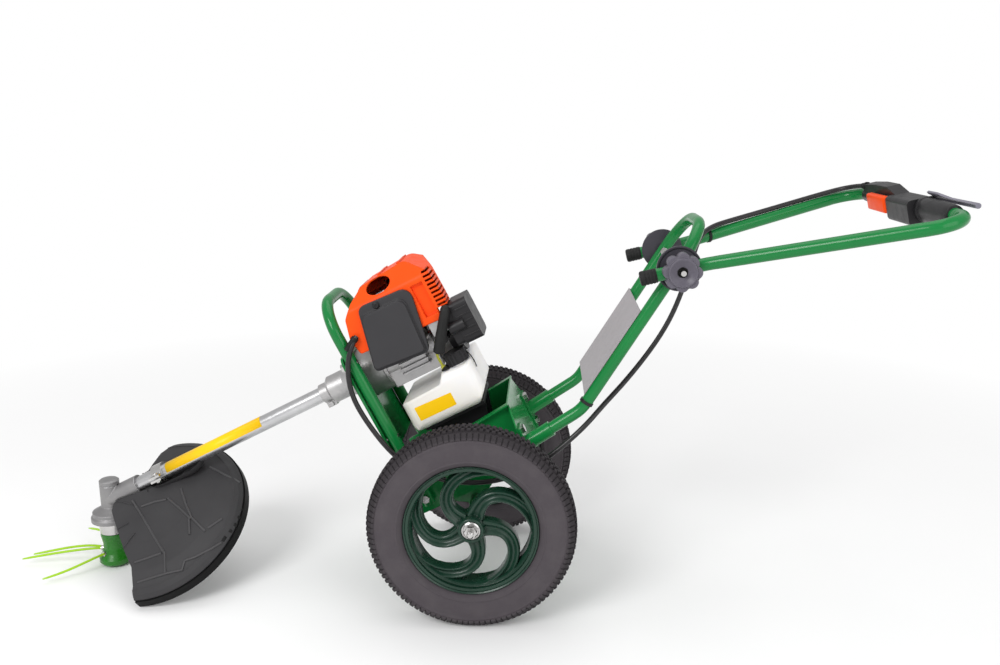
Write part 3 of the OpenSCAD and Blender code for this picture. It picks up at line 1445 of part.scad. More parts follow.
module tank_stand() {
    top = -tank_z - seat_gap;
    low = tray_floor + seat_gap;
    color("#1d1c1e") at_engine() {
        block(stand_x0, stand_x1, -stand_half, stand_half, top - stand_t, top);
        for (side = [-1, 1]) side_of(side) {
            slab([[stand_x0, top], [leg_x0, low], [leg_x1, low], [stand_x1, top]], leg_half,
                leg_half + stand_t);
            block(leg_x0, leg_x1, leg_half, leg_half + stand_t * 4, low, low + stand_t);
        }
    }
}
module fuel_line() {
    color("#c9d84a") at_engine() {
        translate([grommet_x, grommet_y, tank_top + seat_gap]) rod_z(grommet_r, 0, grommet_h);
        swept(line_pts, line_r, strand_sides, [0, 1, 0]);
    }
}

tyre_left();
rim_left();
bush_left();
tyre_right();
rim_right();
bush_right();
axle();
axle_fasteners();
engine_tray();
axle_brackets();
front_hoop();
hoop_plate();
frame_bolts();
column_sockets();
column_hoop();
column_plate();
pivot_cups();
pivot_bolts();
knob_left();
knob_right();
handlebar_tube();
end_plugs();
hand_grip();
throttle_housing();
throttle_lever();
stop_switch();
bar_cable_run();
frame_cable_run();
cable_ties();
drive_tube();
clutch_housing();
drive_shaft();
clutch_drum();
pinion();
gear_case();
shaft_bearings();
spindle();
bevel_gear();
adaptor_cup();
trimmer_head();
line_eyelets();
line_strands();
guard();
guard_skirt();
guard_clamp();
crankcase();
crankshaft();
cylinder_block();
spark_plug();
cowl();
heat_shield();
muffler();
carburettor();
air_filter();
starter_housing();
starter_grip();
fuel_tank();
fuel_cap();
tank_stand();
fuel_line();
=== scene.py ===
"""Looks of a wheeled string trimmer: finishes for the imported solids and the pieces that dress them."""
import json
import math

import bpy
from mathutils import Matrix, Vector


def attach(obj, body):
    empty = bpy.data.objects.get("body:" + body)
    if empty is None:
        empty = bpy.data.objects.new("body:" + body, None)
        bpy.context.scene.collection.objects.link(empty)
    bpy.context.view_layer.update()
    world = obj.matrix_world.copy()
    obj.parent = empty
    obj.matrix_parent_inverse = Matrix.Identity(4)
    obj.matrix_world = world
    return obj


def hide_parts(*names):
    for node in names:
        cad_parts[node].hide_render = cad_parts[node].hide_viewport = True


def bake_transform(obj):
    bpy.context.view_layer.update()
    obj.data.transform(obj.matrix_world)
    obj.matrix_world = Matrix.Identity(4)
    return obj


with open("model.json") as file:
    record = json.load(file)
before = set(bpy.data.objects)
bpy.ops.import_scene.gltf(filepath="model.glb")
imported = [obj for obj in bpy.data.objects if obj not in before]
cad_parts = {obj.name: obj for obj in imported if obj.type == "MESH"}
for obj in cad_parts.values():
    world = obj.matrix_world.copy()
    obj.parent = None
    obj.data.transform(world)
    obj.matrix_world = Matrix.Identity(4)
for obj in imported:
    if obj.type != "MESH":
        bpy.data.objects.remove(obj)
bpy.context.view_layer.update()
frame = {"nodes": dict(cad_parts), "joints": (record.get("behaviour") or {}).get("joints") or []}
SOLID = frame["nodes"]
JOINT = {j["name"]: j for j in frame["joints"]}
MM = 0.001
# in millimetres: the machine's middle from the axle, the axle's height, the crossbar's distance from
# the pivot, half the width between the arms, the knobs' seats from the middle, the head below the crossing
MID_X = -55.0923
AXLE_HIGH = 162
CROSSBAR = 377
ARM_OUT = 115.9
KNOB_OUT = 126.1
HEAD_DROP = 60


# places: the machine's own frames, as matrices from millimetres to metres
def place(origin, x=(1, 0, 0), z=(0, 0, 1)):
    """A frame at origin (metres) whose local x and z point along the given directions."""
    x = Vector(x).normalized()
    z = Vector(z).normalized()
    y = z.cross(x).normalized()
    turn = Matrix((x, y, z)).transposed().to_4x4()
    return Matrix.Translation(origin) @ turn @ Matrix.Scale(MM, 4)


def machine(x, y, z):
    """A point measured in millimetres from the ground under the axle."""
    return Vector((x - MID_X, y, z)) * MM


def turned(degrees, axis):
    return Matrix.Rotation(math.radians(degrees), 4, axis)


NEAR_SIDE = Vector((0, -1, 0))
SHAFT = Vector(JOINT["crank_spin"]["axis"])
ABOVE = Vector((-SHAFT.z, 0, SHAFT.x))
ENGINE = place(JOINT["crank_spin"]["pos_m"], SHAFT, ABOVE)
PIVOT = Vector(JOINT["handlebar_fold"]["pos_m"])
LEAN = math.radians(13.5)
ARM = Vector((math.cos(LEAN), 0, math.sin(LEAN)))
BAR = place(PIVOT, ARM, (-math.sin(LEAN), 0, math.cos(LEAN)))
RISE = math.radians(58.3)
TUBES = Vector((math.cos(RISE), 0, math.sin(RISE)))
COLUMN = place(machine(168, 0, 326), TUBES, (-math.sin(RISE), 0, math.cos(RISE)))
HEAD = place(Vector(JOINT["head_spin"]["pos_m"]) + Vector((0, 0, HEAD_DROP * MM)))
GUARD_SPOT = Matrix.Translation(machine(-540.17, -30.2, 91.7))
GUARD = GUARD_SPOT @ turned(36.5, "X") @ turned(-11, "Y") @ Matrix.Scale(MM, 4)
SIDES = (("left", -1), ("right", 1))
WHEEL = {side: place(JOINT["wheel_%s_roll" % side]["pos_m"], (1, 0, 0), (0, way, 0)) for side, way in SIDES}


def near(x, y, z):
    """A frame on the engine's near side whose z looks outwards."""
    return place(ENGINE @ Vector((x, y, z)), SHAFT, NEAR_SIDE)


# finishes
class Wire:
    """A socket that can be used in sums; each sum adds a Math node to its finish."""

    def __init__(self, finish, socket):
        self.finish = finish
        self.socket = socket

    def sum_of(self, kind, a, b):
        return self.finish.add("Math", {"operation": kind}, {0: a, 1: b})

    def __add__(self, other):
        return self.sum_of("ADD", self, other)

    def __rsub__(self, other):
        return self.sum_of("SUBTRACT", other, self)

    def __mul__(self, other):
        return self.sum_of("MULTIPLY", self, other)


class Finish:
    """A material whose nodes are added one by one."""

    def __init__(self, name, rough=0.5, metal=0.0, shine=0.5):
        self.material = bpy.data.materials.new(name)
        self.material.use_nodes = True
        self.tree = self.material.node_tree
        self.shader = self.tree.nodes["Principled BSDF"]
        self.shader.inputs["Roughness"].default_value = rough
        self.shader.inputs["Metallic"].default_value = metal
        self.shader.inputs["Specular IOR Level"].default_value = shine
        self.spot = self.add("TexCoord", {}, {}, "Object")

    def add(self, kind, settings, inputs, output=0):
        node = self.tree.nodes.new("ShaderNode" + kind)
        for key, value in settings.items():
            setattr(node, key, value)
        for key, value in inputs.items():
            if isinstance(value, Wire):
                self.tree.links.new(value.socket, node.inputs[key])
            else:
                node.inputs[key].default_value = value
        return Wire(self, node.outputs[output])

    def vector(self, kind, inputs, output=0):
        return self.add("VectorMath", {"operation": kind}, inputs, output)

    def feed(self, socket, wire):
        self.tree.links.new(wire.socket, self.shader.inputs[socket])

    def grain(self, scale, detail=3.0):
        return self.add("TexNoise", {}, {"Vector": self.spot, "Scale": scale, "Detail": detail})

    def band(self, wire, low, high):
        return self.add("MapRange", {"clamp": True}, {"Value": wire, "From Min": low, "From Max": high})

    def mix(self, share, a, b):
        inputs = {0: share}
        for key, tone in ((6, a), (7, b)):
            inputs[key] = tone if isinstance(tone, Wire) else (*tone, 1.0)
        return self.add("Mix", {"data_type": "RGBA"}, inputs, 2)

    def relief(self, height, depth, soft=0.0):
        """Fine relief, over corners that are rounded by the soft radius."""
        inputs = {"Height": height, "Distance": depth}
        if soft:
            inputs["Normal"] = self.add("Bevel", {"samples": 6}, {"Radius": soft}, "Normal")
        self.feed("Normal", self.add("Bump", {}, inputs))

    def edges(self, width):
        """0 on flats and 1 on sharp edges, from the bent normal of a rounded corner."""
        soft = self.add("Bevel", {"samples": 4}, {"Radius": width}, "Normal")
        flat = self.add("NewGeometry", {}, {}, "Normal")
        return self.band(1 - self.vector("DOT_PRODUCT", {0: soft, 1: flat}, "Value"), 0.02, 0.25)


def enamel(name, tone, deep, rough, shine, edge=0.0012):
    """Glossy sprayed paint with faint orange peel and a slight drift of tone."""
    f = Finish(name, rough, shine=shine)
    f.feed("Base Color", f.mix(f.band(f.grain(9, 4), 0.35, 0.7), tone, deep))
    f.feed("Roughness", f.band(f.grain(60, 4), 0.2, 0.9) * 0.1 + rough)
    f.relief(f.grain(700, 1), 0.00001, edge)
    return f.material


def moulded(name, tone, other, rough, grain=1400, depth=0.00003, shine=0.25, wear=None, soft=0.0012):
    """Moulded plastic: fine grain and a slight drift of tone, with paler edges where it wears."""
    f = Finish(name, rough, shine=shine)
    body = f.mix(f.band(f.grain(14, 4), 0.3, 0.72), tone, other)
    if wear:
        body = f.mix(f.edges(0.0009) * f.band(f.grain(120, 4), 0.4, 0.7), body, wear)
    f.feed("Base Color", body)
    f.feed("Roughness", f.band(f.grain(90, 3), 0.2, 0.8) * 0.14 + (rough - 0.07))
    f.relief(f.grain(grain, 2), depth, soft)
    return f.material


def cast(name, tone, other, rough=0.42, metal=0.85):
    """Cast alloy: fine pitted skin with brighter rubbed edges."""
    f = Finish(name, rough, metal)
    drift = f.band(f.grain(26, 5), 0.3, 0.7)
    bright = f.edges(0.0012) * f.band(f.grain(90, 4), 0.35, 0.65)
    f.feed("Base Color", f.mix(bright, f.mix(drift, tone, other), (0.78, 0.78, 0.79)))
    f.feed("Roughness", f.band(f.grain(240, 3), 0.2, 0.8) * 0.2 + (rough - 0.1))
    f.relief(f.grain(1100, 3), 0.00006, 0.0014)
    return f.material


def plated(name, tone, rough, metal=1.0, streak=(1, 1, 1)):
    """Plated or drawn metal, with fine streaks when the scale differs along the axes."""
    f = Finish(name, rough, metal)
    stretched = f.vector("MULTIPLY", {0: f.spot, 1: streak})
    hair = f.add("TexNoise", {}, {"Vector": stretched, "Scale": 300.0, "Detail": 4.0})
    f.feed("Base Color", f.mix(f.band(f.grain(40, 4), 0.3, 0.7), tone, tuple(0.86 * c for c in tone)))
    f.feed("Roughness", f.band(hair, 0.2, 0.8) * 0.12 + (rough - 0.05))
    f.relief(hair, 0.000002)
    return f.material


def rubber(name, tone, dust, rough=0.72, grain=700, depth=0.00008, tread=None, shine=0.25):
    """Matt rubber with dusty patches; a tyre is darker outside the tread radius."""
    f = Finish(name, rough, shine=shine)
    body = f.mix(f.band(f.grain(35, 6), 0.42, 0.75) * 0.5, tone, dust)
    if tread:
        away = f.vector("SUBTRACT", {0: f.spot, 1: machine(0, 0, AXLE_HIGH)})
        out = f.vector("LENGTH", {0: f.vector("MULTIPLY", {0: away, 1: (1, 0, 1)})}, "Value")
        body = f.mix(f.band(out, tread, tread + 0.006), body, tuple(0.45 * c for c in tone))
    f.feed("Base Color", body)
    f.feed("Roughness", f.band(f.grain(180, 3), 0.2, 0.8) * 0.18 + (rough - 0.1))
    f.relief(f.grain(grain, 4), depth)
    return f.material


def milky(name, tone, low):
    """Blown translucent tank plastic: milky body that is a little warmer where the fuel stands."""
    f = Finish(name, 0.35)
    height = f.add("SeparateXYZ", {}, {0: f.spot}, 2)
    fuel = f.band(height + f.grain(12, 3) * 0.01, 0.33, 0.37)
    f.feed("Base Color", f.mix(fuel, low, tone))
    f.feed("Roughness", f.band(f.grain(120, 3), 0.2, 0.8) * 0.15 + 0.28)
    f.relief(f.grain(220, 2), 0.00002, 0.007)
    f.shader.inputs["Subsurface Weight"].default_value = 0.25
    f.shader.inputs["Subsurface Radius"].default_value = (0.01, 0.009, 0.007)
    return f.material


GREEN_ENAMEL = enamel("green_enamel", (0.007, 0.195, 0.043), (0.006, 0.165, 0.036), 0.14, 0.3)
GREY_SHEET = enamel("grey_sheet", (0.33, 0.31, 0.325), (0.3, 0.285, 0.295), 0.36, 0.3, 0.0004)
SHIELD_PAINT = enamel("shield_paint", (0.036, 0.035, 0.038), (0.029, 0.028, 0.031), 0.36, 0.3, 0.003)
RIM_PLASTIC = moulded("rim_plastic", (0.009, 0.038, 0.023), (0.007, 0.03, 0.018), 0.28, 900, 0.00001, 0.4)
ORANGE_COWL = moulded("orange_cowl", (0.95, 0.085, 0.008), (0.9, 0.074, 0.007), 0.38, 1600, 0.00001, 0.1,
                      soft=0.004)
BLACK_PLASTIC = moulded("black_plastic", (0.014, 0.0133, 0.0147), (0.019, 0.018, 0.0197), 0.4,
                        wear=(0.05, 0.05, 0.05))
CUP_PLASTIC = moulded("cup_plastic", (0.052, 0.048, 0.06), (0.043, 0.04, 0.05), 0.36)
GREY_KNOB = moulded("grey_knob", (0.115, 0.106, 0.132), (0.1, 0.092, 0.115), 0.34, wear=(0.2, 0.19, 0.21))
YELLOW_FILM = moulded("yellow_film", (0.98, 0.6, 0.004), (0.94, 0.56, 0.004), 0.35, 1800, 0.00001)
LILAC_LEVER = moulded("lilac_lever", (0.2, 0.19, 0.235), (0.17, 0.165, 0.2), 0.4, wear=(0.32, 0.31, 0.34))
GUARD_PLASTIC = moulded("guard_plastic", (0.044, 0.043, 0.045), (0.036, 0.035, 0.037), 0.5, 900, 0.00004, 0.2,
                        (0.09, 0.09, 0.09))
# The guard's ridge beads take a paler tone than the guard itself: a painted highlight for the light that the
# ridges catch.
PAINTED_HIGHLIGHT_BEAD = moulded("bead_painted_highlight", (0.06, 0.058, 0.061), (0.05, 0.049, 0.051), 0.45, 900, 0.00002, 0.3,
                     soft=0.0)
HEAD_PLASTIC = moulded("head_plastic", (0.018, 0.17, 0.012), (0.014, 0.14, 0.01), 0.26, 1500, 0.00002, 0.45)
LINE_NYLON = moulded("line_nylon", (0.37, 0.64, 0.02), (0.33, 0.58, 0.016), 0.35, 2000, 0.00001, soft=0.0)
FUEL_HOSE = moulded("fuel_hose", (0.5, 0.5, 0.06), (0.44, 0.43, 0.05), 0.3, 2000, 0.00001, soft=0.0)
TYRE_RUBBER = rubber("tyre_rubber", (0.062, 0.053, 0.06), (0.085, 0.075, 0.08), tread=0.146)
SKIRT_RUBBER = rubber("skirt_rubber", (0.004, 0.004, 0.004), (0.008, 0.008, 0.008), 0.55, 1500, 0.00002,
                      shine=0.12)
SOFT_BLACK = rubber("soft_black", (0.009, 0.009, 0.009), (0.022, 0.022, 0.022), 0.6, 1500, 0.00003)
CABLE_SKIN = moulded("cable_skin", (0.014, 0.013, 0.014), (0.019, 0.018, 0.019), 0.3, 2000, 0.00001, 0.4,
                     soft=0.0)
BRIGHT_STEEL = plated("bright_steel", (0.62, 0.61, 0.6), 0.22)
DARK_STEEL = plated("dark_steel", (0.3, 0.3, 0.31), 0.36)
DRAWN_ALLOY = plated("drawn_alloy", (0.62, 0.62, 0.63), 0.3, 0.95, (0.06, 1, 1))
CAST_ALLOY = cast("cast_alloy", (0.5, 0.49, 0.49), (0.43, 0.425, 0.43))
CAST_CASE = cast("cast_case", (0.3, 0.295, 0.295), (0.25, 0.245, 0.25), 0.45, 0.7)
MUFFLER_SKIN = cast("muffler_skin", (0.24, 0.22, 0.2), (0.17, 0.16, 0.15), 0.5)
TANK_PLASTIC = milky("tank_plastic", (0.9, 0.885, 0.87), (0.87, 0.84, 0.78))

WORN_BY = (
    (TYRE_RUBBER, "tyre_left tyre_right"),
    (RIM_PLASTIC, "rim_left rim_right"),
    (BRIGHT_STEEL, "bush_left bush_right axle axle_fasteners frame_bolts pivot_bolts"),
    (BRIGHT_STEEL, "adaptor_cup line_eyelets guard_clamp"),
    (GREEN_ENAMEL, "engine_tray axle_brackets front_hoop hoop_plate"),
    (GREEN_ENAMEL, "column_sockets column_hoop handlebar_tube"),
    (GREY_SHEET, "column_plate"),
    (CUP_PLASTIC, "pivot_cups"),
    (GREY_KNOB, "knob_left knob_right"),
    (SOFT_BLACK, "end_plugs hand_grip starter_grip"),
    (BLACK_PLASTIC, "throttle_housing cable_ties spark_plug air_filter"),
    (BLACK_PLASTIC, "starter_housing fuel_cap tank_stand"),
    (LILAC_LEVER, "throttle_lever"),
    (ORANGE_COWL, "stop_switch cowl"),
    (CABLE_SKIN, "bar_cable_run frame_cable_run"),
    (DRAWN_ALLOY, "drive_tube"),
    (CAST_ALLOY, "clutch_housing crankcase cylinder_block carburettor"),
    (DARK_STEEL, "drive_shaft clutch_drum pinion shaft_bearings spindle bevel_gear crankshaft"),
    (CAST_CASE, "gear_case"),
    (HEAD_PLASTIC, "trimmer_head"),
    (LINE_NYLON, "line_strands"),
    (GUARD_PLASTIC, "guard"),
    (SKIRT_RUBBER, "guard_skirt"),
    (SHIELD_PAINT, "heat_shield"),
    (MUFFLER_SKIN, "muffler"),
    (TANK_PLASTIC, "fuel_tank"),
    (FUEL_HOSE, "fuel_line"))
for finish, names in WORN_BY:
    for name in names.split():
        SOLID[name].data.materials.clear()
        SOLID[name].data.materials.append(finish)


# modelling steps
def clear():
    """Object mode with nothing selected."""
    if bpy.context.object and bpy.context.object.mode != "OBJECT":
        bpy.ops.object.mode_set(mode="OBJECT")
    bpy.ops.object.select_all(action="DESELECT")


def pick(*pieces):
    clear()
    for piece in pieces:
        piece.select_set(True)
    bpy.context.view_layer.objects.active = pieces[0]


def pen(name, points):
    """A chain of edges drawn from point to point, left in edit mode and selected."""
    clear()
    bpy.ops.mesh.primitive_plane_add(size=1)
    bpy.context.object.name = name
    bpy.ops.object.mode_set(mode="EDIT")
    bpy.ops.mesh.select_all(action="SELECT")
    bpy.ops.mesh.merge(type="CENTER")
    bpy.ops.transform.translate(value=points[0])
    for a, b in zip(points, points[1:]):
        bpy.ops.mesh.extrude_region_move(TRANSFORM_OT_translate={"value": Vector(b) - Vector(a)})
    bpy.ops.mesh.select_all(action="SELECT")
    return bpy.context.object


def raise_face(thick):
    """Fills the drawn chain and draws the face up."""
    bpy.ops.mesh.edge_face_add()
    bpy.ops.mesh.extrude_region_move(TRANSFORM_OT_translate={"value": (0, 0, thick)})


def tidy(piece):
    """Merges doubles and turns the faces outwards."""
    bpy.ops.mesh.select_all(action="SELECT")
    bpy.ops.mesh.remove_doubles(threshold=0.002)
    bpy.ops.mesh.normals_make_consistent(inside=False)
    bpy.ops.object.mode_set(mode="OBJECT")
    return piece


def settle(piece, where):
    """Puts the piece's place into its mesh."""
    pick(piece)
    piece.matrix_world = where
    bpy.ops.object.transform_apply(location=True, rotation=True, scale=True)
    return piece


def soften(piece, width, segments):
    """Rounds the edges that are sharper than 30 degrees."""
    pick(piece)
    rounding = piece.modifiers.new("soft", "BEVEL")
    rounding.width = width
    rounding.segments = segments
    rounding.angle_limit = math.radians(30)
    bpy.ops.object.modifier_apply(modifier="soft")
    return piece


def spun(name, outline, where, steps, turn=360.0):
    """An outline of radius and height turned about the frame's z."""
    piece = pen(name, [(r, 0, z) for r, z in outline])
    bpy.ops.mesh.spin(steps=steps, angle=math.radians(turn), center=(0, 0, 0), axis=(0, 0, 1))
    return settle(tidy(piece), where)


def plate(name, outline, thick, where, soft=0.0, segments=1):
    """A flat outline drawn up along the frame's z, with rounded edges."""
    piece = pen(name, [(x, y, 0) for x, y in outline])
    raise_face(thick)
    tidy(piece)
    if soft:
        soften(piece, soft, segments)
    return settle(piece, where)


def cord(name, points, radius, sides, thin=None, kind="NURBS"):
    """A round line along points in metres; thin gives the radius share at each point."""
    clear()
    route = bpy.data.curves.new(name, "CURVE")
    route.dimensions = "3D"
    route.bevel_depth = radius
    route.bevel_resolution = sides
    route.use_fill_caps = True
    route.resolution_u = 6
    line = route.splines.new(kind)
    line.points.add(len(points) - 1)
    for k, (knot, point) in enumerate(zip(line.points, points)):
        knot.co = (*point, 1)
        knot.radius = thin[k] if thin else 1
    if kind == "NURBS":
        line.use_endpoint_u = True
        line.order_u = 4
    piece = bpy.data.objects.new(name, route)
    bpy.context.scene.collection.objects.link(piece)
    pick(piece)
    bpy.ops.object.convert(target="MESH")
    return bpy.context.object


def hollowed(piece, cutter):
    """Cuts one piece out of another and takes the cutter away."""
    pick(piece)
    bore = piece.modifiers.new("bore", "BOOLEAN")
    bore.object = cutter
    bpy.ops.object.modifier_apply(modifier="bore")
    pick(cutter)
    bpy.ops.object.delete()
    return piece


def again(piece, move, name=None):
    """A copy with its own mesh, moved."""
    twin = piece.copy()
    twin.data = piece.data.copy()
    twin.name = name or piece.name
    bpy.context.scene.collection.objects.link(twin)
    return settle(twin, move @ piece.matrix_world)


def joined(name, parts):
    pick(*parts)
    bpy.ops.object.join()
    bpy.context.object.name = name
    return bpy.context.object


def dress(piece, finish, body, *nodes, slot=None, angle=35):
    """Finish, smooth shading, the body it rides on and the solids it stands for."""
    piece.data.materials.clear()
    piece.data.materials.append(finish)
    pick(piece)
    bpy.ops.object.shade_smooth_by_angle(angle=math.radians(angle))
    if body:
        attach(piece, body)
    if nodes:
        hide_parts(*nodes)
    clear()


def lump(name, size, where, top, soft):
    """A small block whose top is drawn in and whose edges are broken."""
    clear()
    bpy.ops.mesh.primitive_cube_add(size=1, scale=size)
    piece = bpy.context.object
    piece.name = name
    bpy.ops.object.mode_set(mode="EDIT")
    bpy.ops.mesh.select_all(action="DESELECT")
    bpy.ops.object.mode_set(mode="OBJECT")
    for face in piece.data.polygons:
        face.select = face.normal.z > 0.9
    bpy.ops.object.mode_set(mode="EDIT")
    bpy.ops.transform.resize(value=(top, top, 1))
    bpy.ops.mesh.select_all(action="SELECT")
    bpy.ops.mesh.bevel(offset=soft, segments=1, affect="EDGES")
    bpy.ops.object.mode_set(mode="OBJECT")
    pick(piece)
    bpy.ops.object.transform_apply(location=False, rotation=False, scale=True)
    return settle(piece, where)


def around(k, n):
    return Matrix.Rotation(math.tau * k / n, 4, "Z")


# floor, light and camera
def paper_floor():
    """Pale paper that fades to white away from the machine."""
    clear()
    bpy.ops.mesh.primitive_plane_add(size=40, location=(0, 0, 0))
    floor = bpy.context.object
    floor.name = "floor"
    paper = Finish("floor_paper", 0.9)
    paper.feed("Base Color", paper.mix(paper.grain(3, 2), (0.94, 0.94, 0.94), (0.91, 0.91, 0.91)))
    out = paper.vector("LENGTH", {0: paper.spot}, "Value")
    seen = paper.add("LightPath", {}, {}, "Is Camera Ray")
    gloss = paper.add("LightPath", {}, {}, "Is Glossy Ray")
    far = paper.band(out, 0.7, 2.0) * (seen + gloss)
    glow = paper.add("Emission", {}, {"Color": (1, 1, 1, 1), "Strength": 1.0})
    blend = paper.add("MixShader", {}, {0: far, 2: glow})
    paper.tree.links.new(paper.shader.outputs[0], blend.socket.node.inputs[1])
    paper.tree.links.new(blend.socket, paper.tree.nodes["Material Output"].inputs[0])
    floor.data.materials.append(paper.material)


def white_room():
    """A dim white room that the camera sees as full white."""
    world = bpy.data.worlds.new("studio")
    bpy.context.scene.world = world
    world.use_nodes = True
    tree = world.node_tree
    room = tree.nodes["Background"]
    backdrop = tree.nodes.new("ShaderNodeBackground")
    for light, strength in ((room, 0.62), (backdrop, 1.0)):
        light.inputs["Color"].default_value = (1, 1, 1, 1)
        light.inputs["Strength"].default_value = strength
    path = tree.nodes.new("ShaderNodeLightPath")
    choice = tree.nodes.new("ShaderNodeMixShader")
    tree.links.new(path.outputs["Is Camera Ray"], choice.inputs[0])
    tree.links.new(room.outputs[0], choice.inputs[1])
    tree.links.new(backdrop.outputs[0], choice.inputs[2])
    tree.links.new(choice.outputs[0], tree.nodes["World Output"].inputs[0])


def lamps():
    aim = Vector((0, 0, 0.3))
    for name, spot, size, power in (
            ("key", (-1.4, -2.4, 2.2), 1.4, 58),
            ("fill", (2.2, -2.2, 1.5), 2.2, 26),
            ("top", (0.1, 0.5, 3.0), 2.2, 20)):
        lamp = bpy.data.lights.new(name, "AREA")
        lamp.size = size
        lamp.energy = power
        light = bpy.data.objects.new(name, lamp)
        light.location = spot
        light.rotation_euler = (aim - Vector(spot)).to_track_quat("-Z", "Y").to_euler()
        bpy.context.scene.collection.objects.link(light)


def camera():
    """The camera that was fitted to the photograph."""
    sensor = 36
    focal_share = 0.92215
    look = Vector((-0.0452, 0.9724, -0.2288))
    lens = bpy.data.cameras.new("camera")
    lens.sensor_width = sensor
    lens.lens = focal_share * sensor
    eye = bpy.data.objects.new("camera", lens)
    eye.location = machine(104.2, -1475, 774.8)
    eye.rotation_euler = look.to_track_quat("-Z", "Y").to_euler()
    bpy.context.scene.collection.objects.link(eye)
    bpy.context.scene.camera = eye


# wheels
def both_wheels(piece, kind, finish, slot, angle):
    """Puts a wheel piece on the left and a copy of it on the right."""
    right = again(piece, WHEEL["right"], "right_" + kind)
    left = settle(piece, WHEEL["left"])
    left.name = "left_" + kind
    dress(left, finish, "wheel_left", kind + "_left", slot=slot, angle=angle)
    dress(right, finish, "wheel_right", kind + "_right", slot=slot, angle=angle)


def tyres():
    """A carcass with sidewall beads and three rows of tread blocks on each half."""
    side = [(96.4, 18.4), (104.4, 18.4), (105.5, 21), (108, 25.2), (112, 27.2), (113, 27.9), (114.5, 27.9),
            (115.5, 27.3), (122, 28.3), (130, 28.4), (138, 27.6), (143, 26.5), (144, 26.9), (145.2, 26.5),
            (150, 24), (154.5, 20.2), (157.4, 15), (158.4, 9), (158.8, 0)]
    loop = side + [(r, -z) for r, z in reversed(side[:-1])] + [side[0]]
    carcass = spun("carcass", loop, Matrix.Identity(4), 96)
    outwards = turned(90, "Y")
    pitches = 108
    blocks = []
    for way in (1, -1):
        shoulder = Matrix.Translation((151.9, 0, way * 21.8)) @ turned(way * -46, "Y") @ outwards
        outer = Matrix.Translation((158.6, 2.2, way * 11)) @ outwards
        inner = Matrix.Translation((158.9, way * -2.2, way * 3.8)) @ outwards
        blocks.append(lump("shoulder", (13, 7.3, 4.4), shoulder, 0.94, 0.35))
        blocks.append(lump("outer_row", (7.4, 6.4, 5), outer, 0.88, 0.4))
        blocks.append(lump("inner_row", (6.2, 6.4, 5.6), inner, 0.88, 0.4))
    pitch = joined("pitch", blocks)
    ring = [carcass, pitch] + [again(pitch, around(k, pitches)) for k in range(1, pitches)]
    both_wheels(joined("tread", ring), "tyre", TYRE_RUBBER, "tyre_rubber", 35)


def spoke_middle(t):
    """The middle line of a swirl spoke, from the hub at 0 to the barrel at 1."""
    turn = math.radians(-78) * abs(t) ** 2.4
    return Vector((math.cos(turn), math.sin(turn))) * (18.5 + 84 * t)


def spoke_section(t):
    """A channel between two rounded ribs, across the spoke; its end stays inside the barrel's wall."""
    rib = [(1, -9), (1, 3), (0.94, 7.4), (0.8, 9.6), (0.62, 10), (0.46, 8.8), (0.3, 6), (0.14, 4.6),
           (0, 4.3)]
    outline = [(-u, z) for u, z in rib] + [(u, z) for u, z in reversed(rib[:-1])]
    barrel_wall = 94
    step = 0.03
    way = (spoke_middle(t + step) - spoke_middle(max(0, t - step))).normalized()
    half = 9.6 * (1 + 0.45 * (1 - t) ** 3)
    chain = []
    for u, z in outline:
        spot = spoke_middle(t) + Vector((-way.y, way.x)) * u * half
        if spot.length >= barrel_wall:
            spot = spot.normalized() * barrel_wall
        chain.append((*spot, z))
    return tidy(pen("section", chain + chain[:1]))


def rims():
    """Five swirl spokes in a barrel with a rolled lip."""
    barrel = [(91, -22), (104, -22), (104, -19), (96, -19), (96, 19), (104, 19), (104, 20.8), (103.4, 21.6),
              (102.6, 21.2), (98, 15.4), (94, 10.8), (91.8, 7.8), (91, 5), (91, -22)]
    hub = [(9.05, -24), (20.4, -24), (21, -23.4), (21, 12), (20.6, 16), (19.6, 18.8), (18, 20), (16.2, 19.8),
           (15.2, 18.8), (15, 17.5), (15, 15), (9.05, 15), (9.05, -24)]
    spokes = 5
    steps = 16
    spoke = joined("spoke", [spoke_section(k / steps) for k in range(steps + 1)])
    bpy.ops.object.mode_set(mode="EDIT")
    bpy.ops.mesh.select_all(action="SELECT")
    bpy.ops.mesh.bridge_edge_loops()
    bpy.ops.mesh.select_all(action="SELECT")
    bpy.ops.mesh.fill_holes(sides=0)
    tidy(spoke)
    parts = [spoke] + [again(spoke, around(k, spokes)) for k in range(1, spokes)]
    parts.append(spun("barrel", barrel, Matrix.Identity(4), 96))
    parts.append(spun("hub", hub, Matrix.Identity(4), 48))
    both_wheels(joined("rim", parts), "rim", RIM_PLASTIC, "rim_plastic", 45)


def hub_cups():
    cup = [(7, 15.5), (14.2, 15.5), (15, 16.5), (14.4, 19), (12.4, 20.2), (11.6, 19.8), (12.6, 18.6),
           (12.8, 17.4), (7, 17.2), (7, 15.5)]
    rings = [spun("cup", cup, WHEEL[side], 40) for side in ("left", "right")]
    dress(joined("hub_cups", rings), BRIGHT_STEEL, "frame", slot="bright_steel")


